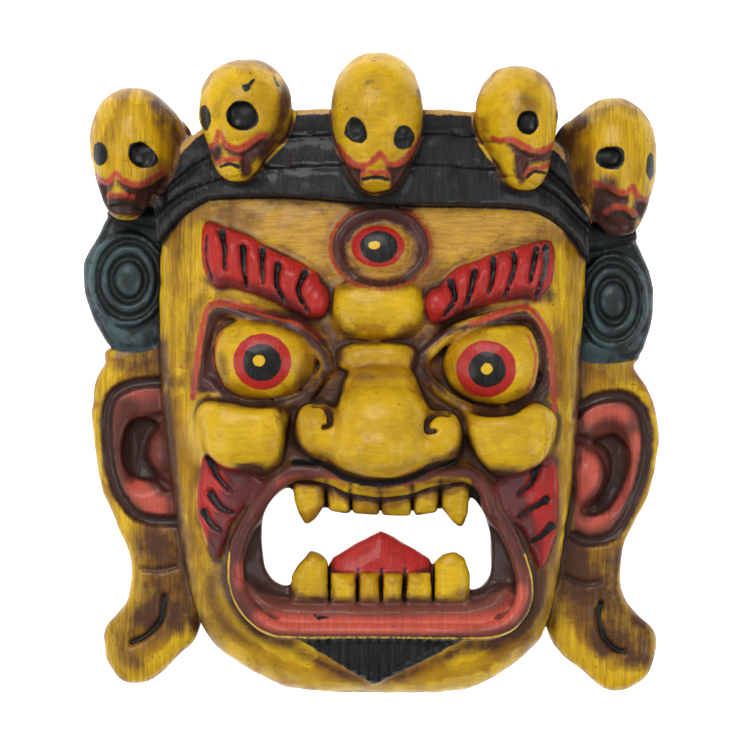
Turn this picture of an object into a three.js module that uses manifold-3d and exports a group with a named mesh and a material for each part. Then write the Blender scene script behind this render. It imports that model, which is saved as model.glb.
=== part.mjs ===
// A carved wooden dance mask of a wrathful, three-eyed protector with a crown of five skulls.
// It lies on its back: +Z is the way the face looks, +Y is the top of the head, and the
// underside at Z = 0 is the flat back of the block that it was carved from.
// Millimetres. The origin is the middle of the underside.
import * as THREE from "three";
import { mergeVertices } from "three/addons/utils/BufferGeometryUtils.js";
import Module from "manifold-3d";

const wasm = await Module();
wasm.setup();

// Driving dimensions. The carving is drawn at one size and grows to the sizes wanted.
const maskWidth = 290.7; // from ear to ear
const maskHeight = 320; // crown of the middle skull to the chin
const maskDepth = 100; // flat back to the forehead of the middle skull
const drawn = { width: 290.7, height: 320, depth: 100 };
const backRim = 21; // width of the flat rim round the hollow at the back
const faceWall = 18; // thickness of the wood behind the face
const earThickness = 26; // of the ears and the ear discs
const edgeBevel = 3; // round the ears and the ear discs, front and back
const tierStep = 3; // each tier of the crown band stands this far over the one above it
const browRise = 8; // of the eyebrows over the forehead
const grooveWidth = 4; // of the gouge cuts between the flames of the eyebrows
const grooveDepth = 3.5; // of the same cuts
const toothThickness = 14; // from the back of a tooth to its front
const overlap = 2; // how deep one carved form sinks into the next

// The head, drawn as seen from the front, anticlockwise from the right of the crown
const headOutline = [
  [50, 128], [79, 120.5], [96.5, 107], [106, 88], [108.5, 60], [105.5, 11], [103.5, -34],
  [98.5, -74], [93.5, -106], [86.5, -131.5], [74.5, -144.5], [57, -156], [38, -160.7], [0, -161],
  [-35, -159.7], [-52, -154.3], [-68.5, -145], [-79.5, -135.5], [-88, -120], [-94.5, -92],
  [-100.5, -54], [-104.5, -24], [-106.5, 13], [-105.5, 66], [-102, 92], [-92.5, 109.5],
  [-79, 121], [-45, 128.5], [4, 129],
];
const headCentre = [2, -14];
const headEdge = 34; // height of the rounded edge of the face
const headRise = 20; // from that edge to the face's plane
const headCrown = 8; // extra height along the middle of the face
const headFullness = 5; // how square the rounding of the face is
const headSides = 40;
const hollowSides = 24;

// Lines of the crown band from its lower lip upwards, each from left to right
const bandLines = [
  [[-107, 64], [-97, 76], [-86, 84], [-75, 87], [-36, 87], [2, 83.5], [36, 83], [74, 82],
    [89, 77.5], [100, 68.5], [109, 56]],
  [[-108, 77], [-92, 90], [-64, 99], [-36, 102], [4, 102.5], [40, 102], [72, 98], [92, 88],
    [109, 72]],
  [[-108, 87], [-86, 105], [-58, 114], [-36, 117], [4, 118], [40, 117.5], [68, 114],
    [90, 100], [109, 81]],
  [[-108, 95], [-95, 112.5], [-80, 123.5], [-45, 130], [4, 130.3], [50, 129.7], [80, 122.5],
    [98, 107.5], [109, 89]],
];
const crownHeight = 66; // of the top tier at the middle
const crownDrop = 22; // lower than that at the ends of the band
const crownHalfWidth = 106;
const bandSteps = 12; // along each line of the band

// A skull is a brain case and a jaw: half sizes along X, Y and Z, and how far it is turned
const skulls = [
  { at: [-119.5, 115, 42], yaw: -34, brain: [20.5, 27.5, 22], jaw: [0, -22, 6],
    chin: [12.5, 17, 14] },
  { at: [-62.5, 131, 66], yaw: -28, brain: [22, 24.5, 24], jaw: [-1, -20, 7],
    chin: [14, 16.5, 14] },
  { at: [3, 129.2, 74], yaw: 0, brain: [22.8, 29.5, 26], jaw: [0, -21, 4],
    chin: [17, 19, 18] },
  { at: [72.6, 128.2, 64], yaw: 36, brain: [19, 24, 21.5], jaw: [0, -21, 7],
    chin: [13, 17, 13] },
  { at: [121.5, 107.8, 41], yaw: 32, brain: [20.5, 29.5, 23], jaw: [0, -22, 6],
    chin: [14, 18, 14] },
];
const skullSocket = { aside: 0.5, down: 0.42, out: 0.86, size: [0.24, 0.22, 0.3] }; // as shares
const skullBack = 0.88; // share of a skull's outline in the block behind it
const skullBackSides = 8;

// The blocks that join the outer skulls to the band and the ear discs
const crownEnds = [
  [[-130, 77], [-132.5, 84], [-136.5, 95], [-140, 108], [-133, 128], [-119, 138], [-108, 134.5],
    [-100.5, 126.5], [-90, 117.5], [-94, 74]],
  [[131.5, 65], [134, 74], [141.5, 99], [135, 122], [120, 133], [106, 128], [92, 114], [98, 64]],
];
const crownEndHeight = 30;

const discs = [
  {
    outline: [[-130, 12], [-111, 12], [-97, 26], [-95, 60.5], [-105, 75.5], [-119, 80.5],
      [-131, 79.5], [-139, 66.5], [-145, 54.5], [-145, 42.5], [-142.5, 31.5], [-137, 21]],
    centre: [-122, 46.5], radii: [19.5, 24],
  },
  {
    outline: [[133, 7], [139, 16], [142.5, 30.5], [142.5, 42.5], [139, 54.5], [132, 67.5],
      [120, 71.5], [107, 68.5], [97, 58.5], [97, 20], [109, 6]],
    centre: [121.5, 35.5], radii: [17.8, 25.5],
  },
];
// Concentric rings of an ear disc: radius as a share, and height over the ear
const discProfile = [
  [0, 6.5], [0.34, 5.5], [0.44, 1.5], [0.58, 4.5], [0.7, 4.5], [0.8, 1], [0.92, 4],
  [1.04, -overlap], [0, -overlap],
];
const discSides = 13;

const ears = [
  {
    outline: [[-130, 12.5], [-134.5, 4], [-139, -4], [-140.5, -13], [-141, -24.5], [-139, -42],
      [-136, -59], [-129, -75], [-123, -89], [-121, -98], [-122.5, -113], [-127, -120.5],
      [-134.5, -130], [-134.5, -139], [-132.5, -147], [-128, -153.5], [-122, -157],
      [-110, -154.5], [-98.5, -144], [-86, -126], [-80, -60], [-85, 14]],
    channel: [[-98, -12], [-112, -8], [-128, -9], [-133.5, -22], [-133, -44], [-126, -64],
      [-116, -76], [-104, -79]],
    bowl: [-115, -40], bowlRadii: [12, 24, 11],
    tragus: [-104, -40], tragusRadii: [8, 11, 7],
  },
  {
    outline: [[133, 9], [132.5, 2.5], [138, -6], [142.5, -14.5], [145, -28], [145, -39.5],
      [141, -59], [135, -72.5], [128, -86], [126, -102], [128, -113.5], [133, -121],
      [142.5, -130], [144, -139], [140.5, -152], [133.5, -158], [126.5, -160.5], [118.5, -160],
      [108.5, -151.5], [89.5, -130.5], [80.5, -60], [85, 8]],
    channel: [[108, -11], [120, -12], [133, -19], [138.5, -36], [137, -54], [129, -72],
      [120, -83], [106, -85]],
    bowl: [122, -46], bowlRadii: [11, 26, 11],
    tragus: [109, -54], tragusRadii: [9, 13, 7],
  },
];
const channelRadius = 3.6;
const bowlLift = 2; // of the middle of an ear's bowl over the ear
const tragusDrop = 4; // of the middle of its tragus below it
const earSteps = 30; // round an ear's outline

const eyes = [
  { at: [-53.5, 6.5],
    lid: [[-24, 8], [-33, 21], [-48, 28], [-64, 33], [-77, 34], [-82, 27], [-85, 10], [-89, -6]],
    pouch: [[-25, 4], [-33, -8], [-48, -16.5], [-64, -17.5], [-78, -12]] },
  { at: [63, 4.5],
    lid: [[28, 6], [38, 18], [52, 25], [68, 29.5], [82, 29], [89, 18], [91, 0], [92, -14]],
    pouch: [[29, 2], [37, -11], [52, -19.5], [70, -20.5], [84, -13]] },
];
const eyeRadii = [26.5, 20.5, 17];
const eyeSunk = 4.5; // of the middle of an eyeball below the face
const socketRadii = [32, 25.5, 14];
const socketDepth = 5.5;
const lidRadius = 2.6;
const thirdEye = { at: [4.5, 62], radii: [16, 13, 10], sunk: 5, rim: [22.8, 20.6], rimRadius: 1.8 };
const thirdEyeSides = 12;

const brows = [
  {
    outline: [[-84, 74.5], [-73, 70.5], [-63, 66], [-53, 61.5], [-43, 55.5], [-33, 51.5],
      [-26, 46], [-25, 40], [-28, 27], [-39, 30], [-51, 37], [-63, 41], [-74, 42], [-80, 46],
      [-83, 58]],
    bead: [-28, 35.5],
    cuts: [[[-73, 73], [-69.5, 48]], [[-61, 67], [-59, 39]], [[-51, 62], [-50, 35]],
      [[-43, 56], [-41, 29]], [[-31, 51], [-30, 26]]],
  },
  {
    outline: [[90, 64.5], [79, 63.5], [69, 62], [58, 59], [47, 54], [41, 49], [37, 42], [31, 38],
      [28, 30], [32, 23.5], [42, 25.5], [52, 30], [64, 34], [78, 37], [83, 35], [88, 46]],
    bead: [33.5, 34.5],
    cuts: [[[53, 57], [47, 27]], [[61, 61], [57, 31]], [[70, 64], [67, 35]],
      [[83, 65], [79, 35]], [[40, 49], [39, 23]]],
  },
];
const beadRadii = [6.8, 9, 7]; // of the knob at the inner end of an eyebrow
const beadLift = 2;

// Rounded masses of the face: middle, half sizes and how square each is
const masses = {
  glabella: { at: [3.5, 30, 60], radii: [23, 14.5, 13], square: 2.6 },
  wrinkle: { at: [4, 6.8, 63], radii: [20, 7, 11], square: 3, rings: 5 },
  bridge: { at: [5, -12, 62], radii: [22, 20, 22], square: 2.4 },
  noseTip: { at: [5, -30, 68], radii: [25.5, 23.5, 32], square: 2.2, around: 14, rings: 8 },
  leftWing: { at: [-26.5, -29, 66], radii: [10.5, 13, 15], square: 2.2, around: 10, rings: 6 },
  rightWing: { at: [33.5, -34, 66], radii: [11, 14, 15], square: 2.2, around: 10, rings: 6 },
  leftCheek: { at: [-61, -32, 54], radii: [25, 23, 23], square: 2.7, around: 14 },
  rightCheek: { at: [69, -33, 54], radii: [25, 23, 23], square: 2.7, around: 14 },
};

// The mouth: the lips as a ridge, the sunk floor inside them and the hole right through
const upperLip = [[-57, -69], [-51, -61], [-43, -55], [-35, -51.5], [-27, -50.5], [-18, -52],
  [-10, -56], [4, -58.5], [18, -56.5], [29, -53], [39, -51], [50, -53.5], [58, -61], [61, -70]];
const lowerLip = [[-57, -69], [-62, -78], [-65.5, -92], [-66, -104], [-64, -113], [-58, -122],
  [-49, -127.5], [-36, -129.5], [2, -129.5], [40, -130], [59, -129], [71, -124], [77, -114],
  [78, -103], [74, -90], [67, -78], [61, -70]];
const lipBody = [[-48, -58], [-36, -51], [-26, -50], [-10, -55], [4, -57.5], [18, -55.5], [30, -52],
  [40, -50.5], [53, -56], [48, -45], [32, -38], [-24, -38], [-42, -46]];
const mouthHole = [[-40, -59], [-46, -60.5], [-52.5, -68], [-55, -79], [-53.5, -98],
  [-47.5, -106], [-41, -107], [-36, -101], [-20, -99], [18, -99], [33, -101], [46, -108],
  [54.5, -109], [59.5, -102.5], [60.5, -93], [59.5, -80], [56, -70], [50, -62], [44, -67],
  [30, -68.5], [0, -69], [-22, -68], [-36, -66]];
const mouthFloor = 50; // height of the sunk floor round the hole
const lipHeight = 65; // of the upper lip's ridge
const lipDrop = 5; // of the lower lip's ridge below it
const lipRadius = 3.8;
const lipRoot = 6; // how far the upper lip reaches below the mouth's floor
const upperLipSteps = 11;
const lowerLipSteps = 15;

const upperTeeth = [
  [[-39, -56], [-22, -54], [-23, -66], [-28, -74.5], [-32, -76.2], [-36, -71], [-38, -64]],
  [[-21, -54], [-9.5, -56], [-9.5, -71], [-20, -70]],
  [[-8, -56], [4, -58], [4.5, -72], [-8, -71.5]],
  [[6, -58], [18, -57], [18.5, -72.5], [6, -72.5]],
  [[20, -57], [32.5, -54], [31.5, -71], [20.5, -72.5]],
  [[34.5, -54], [50, -54], [48.5, -70], [45.5, -78], [42, -76.5], [34.5, -69]],
];
const lowerTeeth = [
  [[-39.5, -116], [-38.5, -100], [-31, -89.5], [-25, -91.5], [-21.5, -95], [-21.5, -116]],
  [[-19.5, -116], [-19.5, -101], [-7, -101], [-7, -116]],
  [[-5, -116], [-5, -101], [4, -101], [4, -116]],
  [[6, -116], [6, -101], [15.5, -101], [14.5, -116]],
  [[18, -116], [18, -100.5], [30, -100.5], [30, -116]],
  [[31.5, -116], [31.5, -95], [36, -91.5], [42, -90], [47.5, -94], [50, -102], [49, -116]],
];
const toothFront = 59;
const tongue = [[-25, -112], [-20.5, -94], [-8, -86.5], [4.5, -79.5], [17.5, -86], [30.5, -93.5],
  [35, -112]];
const tongueFront = 53;

// The flames that lick up from the corners of the mouth
const flames = [
  [[-83.5, -42], [-87, -60], [-87, -75], [-82, -89], [-74, -97], [-66, -90], [-60, -74], [-49, -57],
    [-66, -50]],
  [[90.5, -43], [94.5, -62], [93, -79], [87, -93], [79, -102], [72, -88], [66, -72], [59, -57],
    [77, -50]],
];
const flameRise = 2.5;
const beard = [[-43, -132], [54, -132.5], [26, -146], [0, -157], [-26, -142]];
const beardRise = 2;

// A closed solid for joining and cutting, from any geometry whose shared corners are merged
function solidOf(geometry) {
  const bare = new THREE.BufferGeometry();
  bare.setAttribute("position", geometry.getAttribute("position"));
  if (geometry.index) bare.setIndex(geometry.index);
  const merged = mergeVertices(bare, 1e-4);
  const corners = merged.index.array;
  const faces = [];
  for (let i = 0; i < corners.length; i += 3) {
    const [a, b, c] = [corners[i], corners[i + 1], corners[i + 2]];
    if (a !== b && b !== c && c !== a) faces.push(a, b, c);
  }
  const build = (triVerts) => new wasm.Manifold(new wasm.Mesh({
    numProp: 3,
    vertProperties: new Float32Array(merged.attributes.position.array),
    triVerts: new Uint32Array(triVerts),
  }));
  const made = build(faces);
  return made.volume() > 0 ? made : build(faces.reverse());
}

// Moves every corner of a geometry by a rule
function reshape(geometry, rule) {
  const position = geometry.getAttribute("position");
  const p = new THREE.Vector3();
  for (let i = 0; i < position.count; i++) {
    rule(p.fromBufferAttribute(position, i));
    position.setXYZ(i, p.x, p.y, p.z);
  }
  return geometry;
}

// Evenly spaced points on a smooth closed or open line through drawn points
function smoothLine(points, count, closed) {
  const line = new THREE.CatmullRomCurve3(
    points.map(([x, y, z = 0]) => new THREE.Vector3(x, y, z)),
    closed,
    "centripetal",
  );
  const spaced = line.getSpacedPoints(count);
  return closed ? spaced.slice(0, -1) : spaced;
}

const straight = (points) => points.map(([x, y]) => new THREE.Vector3(x, y, 0));

// Distance from the head's middle to its edge, for every direction
const headMiddle = new THREE.Vector2(...headCentre);
const headReach = smoothLine(headOutline, 144, true)
  .map((p) => ({
    turn: Math.atan2(p.y - headMiddle.y, p.x - headMiddle.x),
    reach: Math.hypot(p.x - headMiddle.x, p.y - headMiddle.y),
  }))
  .sort((a, b) => a.turn - b.turn);

function reachOfHead(turn) {
  const found = headReach.findIndex((e) => e.turn >= turn);
  const next = found < 0 ? 0 : found;
  const after = headReach[next];
  const before = headReach[(next + headReach.length - 1) % headReach.length];
  const wrap = (angle) => THREE.MathUtils.euclideanModulo(angle, 2 * Math.PI);
  const part = wrap(turn - before.turn) / wrap(after.turn - before.turn);
  return THREE.MathUtils.lerp(before.reach, after.reach, part);
}

// Height of the plain face before any feature is carved on it
function faceHeight(x, y) {
  const dx = x - headMiddle.x;
  const dy = y - headMiddle.y;
  const out = Math.min(1, Math.hypot(dx, dy) / reachOfHead(Math.atan2(dy, dx)));
  const swell = Math.sqrt(1 - out ** headFullness);
  const across = x / crownHalfWidth;
  return headEdge + (headRise + headCrown * (1 - across * across)) * swell;
}

function bandHeight(x) {
  const across = (x - headMiddle.x) / crownHalfWidth;
  return crownHeight - crownDrop * across * across;
}

// A turned profile whose round plan is stretched to the head's outline
function headTurning(profile, sides, stretch) {
  const turned = new THREE.LatheGeometry(profile.map(([r, h]) => new THREE.Vector2(r, h)), sides);
  return reshape(turned, (p) => {
    const turn = Math.atan2(p.z, p.x);
    const out = Math.hypot(p.x, p.z);
    const reach = reachOfHead(turn);
    p.set(
      headMiddle.x + out * reach * Math.cos(turn),
      headMiddle.y + out * reach * Math.sin(turn),
      p.y,
    );
    stretch(p, reach);
  });
}

// A plate with an outline seen from the front, between two heights that may follow a surface
function plate(points, low, high, bevel = 0) {
  const shape = new THREE.Shape(points.map((p) => new THREE.Vector2(p.x, p.y)));
  const made = new THREE.ExtrudeGeometry(shape, {
    depth: 1,
    steps: 1,
    bevelEnabled: bevel > 0,
    bevelThickness: 1,
    bevelSize: bevel,
    bevelOffset: -bevel,
    bevelSegments: 1,
  });
  // the extruded rows lie at -1, 0, 1 and 2, or at 0 and 1 where nothing is bevelled
  return solidOf(reshape(made, (p) => {
    const bottom = low(p.x, p.y) + (p.z > -0.5 ? bevel : 0);
    const top = high(p.x, p.y) - (p.z < 1.5 ? bevel : 0);
    p.z = p.z > 0.5 ? top : bottom;
  }));
}

const level = (height) => () => height;

// A ball pressed towards a box: half sizes along X, Y and Z, and how square it is
function ball(at, radii, { square = 2, around = 12, rings = 7, yaw = 0 } = {}) {
  const made = new THREE.SphereGeometry(1, around, rings);
  const size = new THREE.Vector3(...radii);
  reshape(made, (p) => {
    const sum = Math.abs(p.x) ** square + Math.abs(p.y) ** square + Math.abs(p.z) ** square;
    p.divideScalar(sum ** (1 / square)).multiply(size);
  });
  made.rotateY(THREE.MathUtils.degToRad(yaw));
  made.translate(...at);
  return solidOf(made);
}

// A round bar bent along a line, thinner towards its ends
function roll(line, radius, ends = 0.55) {
  const steps = line.length - 1;
  const made = new THREE.CylinderGeometry(1, 1, steps, 4, steps);
  const curve = new THREE.CatmullRomCurve3(line);
  const up = new THREE.Vector3(0, 0, 1);
  return solidOf(reshape(made, (p) => {
    const along = THREE.MathUtils.clamp(p.y / steps + 0.5, 0, 1);
    const middle = curve.getPoint(along);
    const across = curve.getTangent(along).cross(up).normalize();
    const thick = radius * (1 - (1 - ends) * Math.abs(2 * along - 1) ** 4);
    const [aside, lift] = [p.x * thick, p.z * thick];
    p.copy(middle).addScaledVector(across, aside);
    p.z += lift;
  }));
}

// The outline of a band of even width along a line
function strip(line, width) {
  const side = (half) => line.map((p, i) => {
    const ahead = line[Math.min(i + 1, line.length - 1)];
    const behind = line[Math.max(i - 1, 0)];
    const along = new THREE.Vector3().subVectors(ahead, behind).normalize();
    return new THREE.Vector3(p.x - along.y * half, p.y + along.x * half, 0);
  });
  return [...side(-width / 2), ...side(width / 2).reverse()];
}

// Lifts a line drawn from the front on to a surface
const onto = (line, height) => line.map((p) => new THREE.Vector3(p.x, p.y, height(p.x, p.y)));

const joinAll = (solids) => solids.reduce((sum, next) => sum.add(next));

// Closes the small sealed gaps that are left where rounded forms meet
const fillGaps = (solid) => joinAll(solid.decompose().filter((shell) => shell.volume() > 0));

function head() {
  const profile = [[0, 0], [1, 0], [1, 1], [0.98, 1], [0.93, 1], [0.83, 1], [0.5, 1], [0, 1]];
  return solidOf(headTurning(profile, headSides, (p) => {
    p.z *= faceHeight(p.x, p.y);
  }));
}

// The hollow at the back follows the face at the thickness of the wall
function hollow() {
  const profile = [[0, -1], [1, -1], [1, 0.55], [0.93, 0.88], [0.7, 1], [0, 1]];
  return solidOf(headTurning(profile, hollowSides, (p, reach) => {
    const inset = (reach - backRim) / reach;
    p.x = headMiddle.x + (p.x - headMiddle.x) * inset;
    p.y = headMiddle.y + (p.y - headMiddle.y) * inset;
    p.z *= p.z < 0 ? overlap : faceHeight(p.x, p.y) - faceWall;
  }));
}

function crownTier(index) {
  const lower = smoothLine(bandLines[index], bandSteps, false);
  const upper = smoothLine(bandLines[index + 1], bandSteps, false);
  const tiersAbove = bandLines.length - 2 - index;
  const front = (x) => bandHeight(x) + tiersAbove * tierStep;
  return plate([...lower, ...upper.reverse()], level(0), front);
}

const crownEnd = (outline) => plate(smoothLine(outline, 12, true), level(0), level(crownEndHeight));

function skull({ at, yaw, brain, jaw, chin }) {
  const turned = (x, y, z) => new THREE.Vector3(x, y, z)
    .applyAxisAngle(new THREE.Vector3(0, 1, 0), THREE.MathUtils.degToRad(yaw))
    .add(new THREE.Vector3(...at))
    .toArray();
  const [wide, tall, deep] = brain;
  const brainCase = ball(at, brain, { square: 2.2, rings: 8, yaw });
  const jawBone = ball(turned(...jaw), chin, { square: 2.4, around: 8, rings: 5, yaw });
  const { aside, down, out, size } = skullSocket;
  const socket = (side) => ball(
    turned(side * aside * wide, -down * tall, out * deep),
    brain.map((radius, i) => radius * size[i]),
    { around: 6, rings: 4, yaw },
  );
  const back = [...Array(skullBackSides).keys()].map((i) => {
    const turn = (i / skullBackSides) * 2 * Math.PI;
    return [at[0] + skullBack * wide * Math.cos(turn), at[1] + skullBack * tall * Math.sin(turn)];
  });
  return brainCase
    .add(jawBone)
    .subtract(socket(-1))
    .subtract(socket(1))
    .add(plate(straight(back), level(0), level(at[2])));
}

function earDisc({ outline, centre, radii }) {
  const slab = plate(smoothLine(outline, 14, true), level(0), level(earThickness), edgeBevel);
  const profile = discProfile.map(([r, h]) => new THREE.Vector2(r, h));
  const rings = reshape(new THREE.LatheGeometry(profile, discSides), (p) => {
    p.set(centre[0] + p.x * radii[0], centre[1] + p.z * radii[1], earThickness + p.y);
  });
  return slab.add(solidOf(rings));
}

function ear({ outline, channel, bowl, bowlRadii, tragus, tragusRadii }) {
  const top = level(earThickness);
  return plate(smoothLine(outline, earSteps, true), level(0), top, edgeBevel)
    .subtract(roll(onto(smoothLine(channel, 8, false), top), channelRadius))
    .subtract(ball([...bowl, earThickness + bowlLift], bowlRadii, { around: 8, rings: 6 }))
    .add(ball([...tragus, earThickness - tragusDrop], tragusRadii, { around: 8, rings: 4 }));
}

function eyeSocket({ at }) {
  const middleHeight = faceHeight(...at) + socketRadii[2] - socketDepth;
  return ball([...at, middleHeight], socketRadii, { square: 3.4, around: 14, rings: 5 });
}

function eye({ at, lid, pouch }) {
  const edge = (line, steps) => roll(onto(smoothLine(line, steps, false), faceHeight), lidRadius);
  return ball([...at, faceHeight(...at) - eyeSunk], eyeRadii, { around: 14, rings: 8 })
    .add(edge(lid, 8))
    .add(edge(pouch, 4));
}

function foreheadEye({ at, radii, sunk, rim, rimRadius }) {
  const ring = new THREE.TorusGeometry(1, 0.5, 4, thirdEyeSides);
  reshape(ring, (p) => {
    const turn = Math.atan2(p.y, p.x);
    const aside = 2 * (Math.hypot(p.x, p.y) - 1) * rimRadius;
    const lift = 2 * p.z * rimRadius;
    p.x = at[0] + (rim[0] + aside) * Math.cos(turn);
    p.y = at[1] + (rim[1] + aside) * Math.sin(turn);
    p.z = faceHeight(p.x, p.y) + lift;
  });
  return ball([...at, faceHeight(...at) - sunk], radii, { rings: 6 }).add(solidOf(ring));
}

function brow({ outline, bead, cuts }) {
  const raised = (height) => (x, y) => faceHeight(x, y) + height;
  const slab = plate(smoothLine(outline, 17, true), raised(-overlap), raised(browRise));
  const gouges = cuts.map((cut) => plate(
    strip(straight(cut), grooveWidth),
    raised(browRise - grooveDepth),
    raised(browRise + overlap),
  ));
  const knob = [...bead, faceHeight(...bead) + beadLift];
  return slab.subtract(joinAll(gouges)).add(ball(knob, beadRadii, { around: 8, rings: 5 }));
}

// Everything inside the lips, down to the sunk floor of the mouth
function mouthSinking() {
  const upper = smoothLine(upperLip, upperLipSteps, false);
  const lower = smoothLine(lowerLip, lowerLipSteps, false).reverse().slice(1, -1);
  return plate([...upper, ...lower], level(mouthFloor), level(maskHeight));
}

const mouthOpening = () => plate(straight(mouthHole), level(-overlap), level(maskHeight));

function lips() {
  const upper = onto(smoothLine(upperLip, upperLipSteps, false), level(lipHeight));
  const lower = onto(smoothLine(lowerLip, lowerLipSteps, false), level(lipHeight - lipDrop));
  return joinAll([
    roll(upper, lipRadius, 1),
    roll(lower, lipRadius, 1),
    plate(smoothLine(lipBody, 14, true), level(mouthFloor - lipRoot), level(lipHeight)),
  ]);
}

// A tooth or the tongue: an outline with its front at a height
function mouthPiece(outline, front) {
  return plate(straight(outline), level(front - toothThickness), level(front));
}

// A shallow carved form that follows the face
function raisedOnFace(outline, rise) {
  return plate(outline, (x, y) => faceHeight(x, y) - overlap, (x, y) => faceHeight(x, y) + rise);
}

function mask() {
  const face = head()
    .subtract(joinAll(eyes.map(eyeSocket)))
    .add(joinAll([
      ...eyes.map(eye),
      foreheadEye(thirdEye),
      ...Object.values(masses).map(({ at, radii, ...form }) => ball(at, radii, form)),
      ...brows.map(brow),
      ...flames.map((flame) => raisedOnFace(smoothLine(flame, 16, true), flameRise)),
      ...bandLines.slice(1).map((line, index) => crownTier(index)),
    ]))
    .subtract(mouthSinking())
    .add(lips())
    .subtract(hollow())
    .subtract(mouthOpening());
  return joinAll([
    face,
    raisedOnFace(straight(beard), beardRise),
    ...[...upperTeeth, ...lowerTeeth].map((tooth) => mouthPiece(tooth, toothFront)),
    mouthPiece(tongue, tongueFront),
    ...crownEnds.map(crownEnd),
    ...skulls.map(skull),
    ...discs.map(earDisc),
    ...ears.map(ear),
  ]);
}

const carved = fillGaps(mask()).getMesh();
const geometry = new THREE.BufferGeometry();
geometry.setAttribute("position", new THREE.BufferAttribute(new Float32Array(carved.vertProperties), 3));
geometry.setIndex(new THREE.BufferAttribute(new Uint32Array(carved.triVerts), 1));
geometry.computeBoundingBox();
const middle = geometry.boundingBox.getCenter(new THREE.Vector3());
geometry.translate(-middle.x, -middle.y, -geometry.boundingBox.min.z);
geometry.scale(maskWidth / drawn.width, maskHeight / drawn.height, maskDepth / drawn.depth);
geometry.computeVertexNormals();

const wood = new THREE.Mesh(
  geometry,
  new THREE.MeshStandardMaterial({ color: 0xc79a22, roughness: 0.45, metalness: 0 }),
);
wood.name = "mask";
const group = new THREE.Group();
group.add(wood);

export default group;
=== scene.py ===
import math
import bpy
import numpy as np
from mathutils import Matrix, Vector


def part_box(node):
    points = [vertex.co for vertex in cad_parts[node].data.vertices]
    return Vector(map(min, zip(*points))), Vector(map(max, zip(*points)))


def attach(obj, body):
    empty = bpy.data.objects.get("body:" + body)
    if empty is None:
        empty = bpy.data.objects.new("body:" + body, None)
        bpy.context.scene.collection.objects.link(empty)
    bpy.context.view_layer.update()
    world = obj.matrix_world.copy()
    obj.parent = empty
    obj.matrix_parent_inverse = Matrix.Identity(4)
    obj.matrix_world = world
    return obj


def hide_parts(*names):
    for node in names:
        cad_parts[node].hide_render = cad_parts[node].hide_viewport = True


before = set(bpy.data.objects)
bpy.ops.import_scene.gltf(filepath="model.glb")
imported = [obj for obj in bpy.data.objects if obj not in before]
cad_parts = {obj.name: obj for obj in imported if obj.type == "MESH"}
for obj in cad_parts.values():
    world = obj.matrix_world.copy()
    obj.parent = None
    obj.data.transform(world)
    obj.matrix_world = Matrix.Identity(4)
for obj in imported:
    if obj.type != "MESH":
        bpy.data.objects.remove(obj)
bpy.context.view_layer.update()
print("frame loaded")

# Everything below is drawn in millimetres, seen from the front: x to the right, y towards the
# crown, z out of the face. The finished carving is then fitted to the solid's own box.

sculpt = {
    "blockLow": (-150, -166, -4),
    "blockHigh": (150, 166, 106),
    "gridStep": 1.3,
    "mostTriangles": 190000,
    "untangleRounds": 8,
    "headEdge": 34.0,
    "headRise": 20.0,
    "headCrown": 8.0,
    "headFullness": 5.0,
    "faceWall": 18.0,
    "backRim": 21.0,
    "earThickness": 26.0,
    "tierStep": 3.0,
    "browRise": 7.5,
    "eyeWell": (33, 26.5, 14),
    "eyeBall": (27.5, 21.5, 18.5),
    "cheekBall": (27, 22, 24.5),
    "lipHeight": 64.0,
    "mouthFloor": 50.0,
    "toothFront": 59.0,
    "toothDepth": 15.0,
    "tongueFront": 54.0,
    "reliefDepth": 1.0,
    "wobbleRounds": 14,
    "handWobble": 0.3,
    "facetSize": 10.0,
    "facetDepth": 0.4,
    "socketDepth": 3.6,
    # painted shade on the outer walls, darker towards the table
    "wallShadeStrength": 0.6,
    "jawBlend": 9.0,
    "shoulderBlend": 6.0,
}

headOutline = [
    (50, 128), (79, 120.5), (96.5, 107), (106, 88), (108.5, 60), (105.5, 11), (103.5, -34),
    (98.5, -74), (93.5, -106), (86.5, -131.5), (74.5, -144.5), (57, -156), (38, -160.7), (0, -161),
    (-35, -159.7), (-52, -154.3), (-68.5, -145), (-79.5, -135.5), (-88, -120), (-94.5, -92),
    (-100.5, -54), (-104.5, -24), (-106.5, 13), (-105.5, 66), (-102, 92), (-92.5, 109.5),
    (-79, 121), (-45, 128.5), (4, 129)]
headMiddle = (2.0, -14.0)

bandLines = [
    [(-107, 64), (-97, 76), (-86, 84), (-75, 87), (-36, 87), (2, 83.5), (36, 83), (74, 82),
     (89, 77.5), (100, 68.5), (109, 56)],
    [(-108, 77), (-92, 90), (-64, 99), (-36, 102), (4, 102.5), (40, 102), (72, 98), (92, 88),
     (109, 72)],
    [(-108, 87), (-86, 105), (-58, 114), (-36, 117), (4, 118), (40, 117.5), (68, 114),
     (90, 100), (109, 81)],
    [(-108, 95), (-95, 112.5), (-80, 123.5), (-45, 130), (4, 130.3), (50, 129.7), (80, 122.5),
     (98, 107.5), (109, 89)]]
crown = {"height": 66.0, "drop": 22.0, "halfWidth": 106.0, "endHeight": 30.0}
crownEnds = [
    [(-130, 77), (-132.5, 84), (-136.5, 95), (-140, 108), (-133, 128), (-119, 138), (-108, 134.5),
     (-100.5, 126.5), (-90, 117.5), (-94, 74)],
    [(131.5, 65), (134, 74), (141.5, 99), (135, 122), (120, 133), (106, 128), (92, 114), (98, 64)]]

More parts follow.
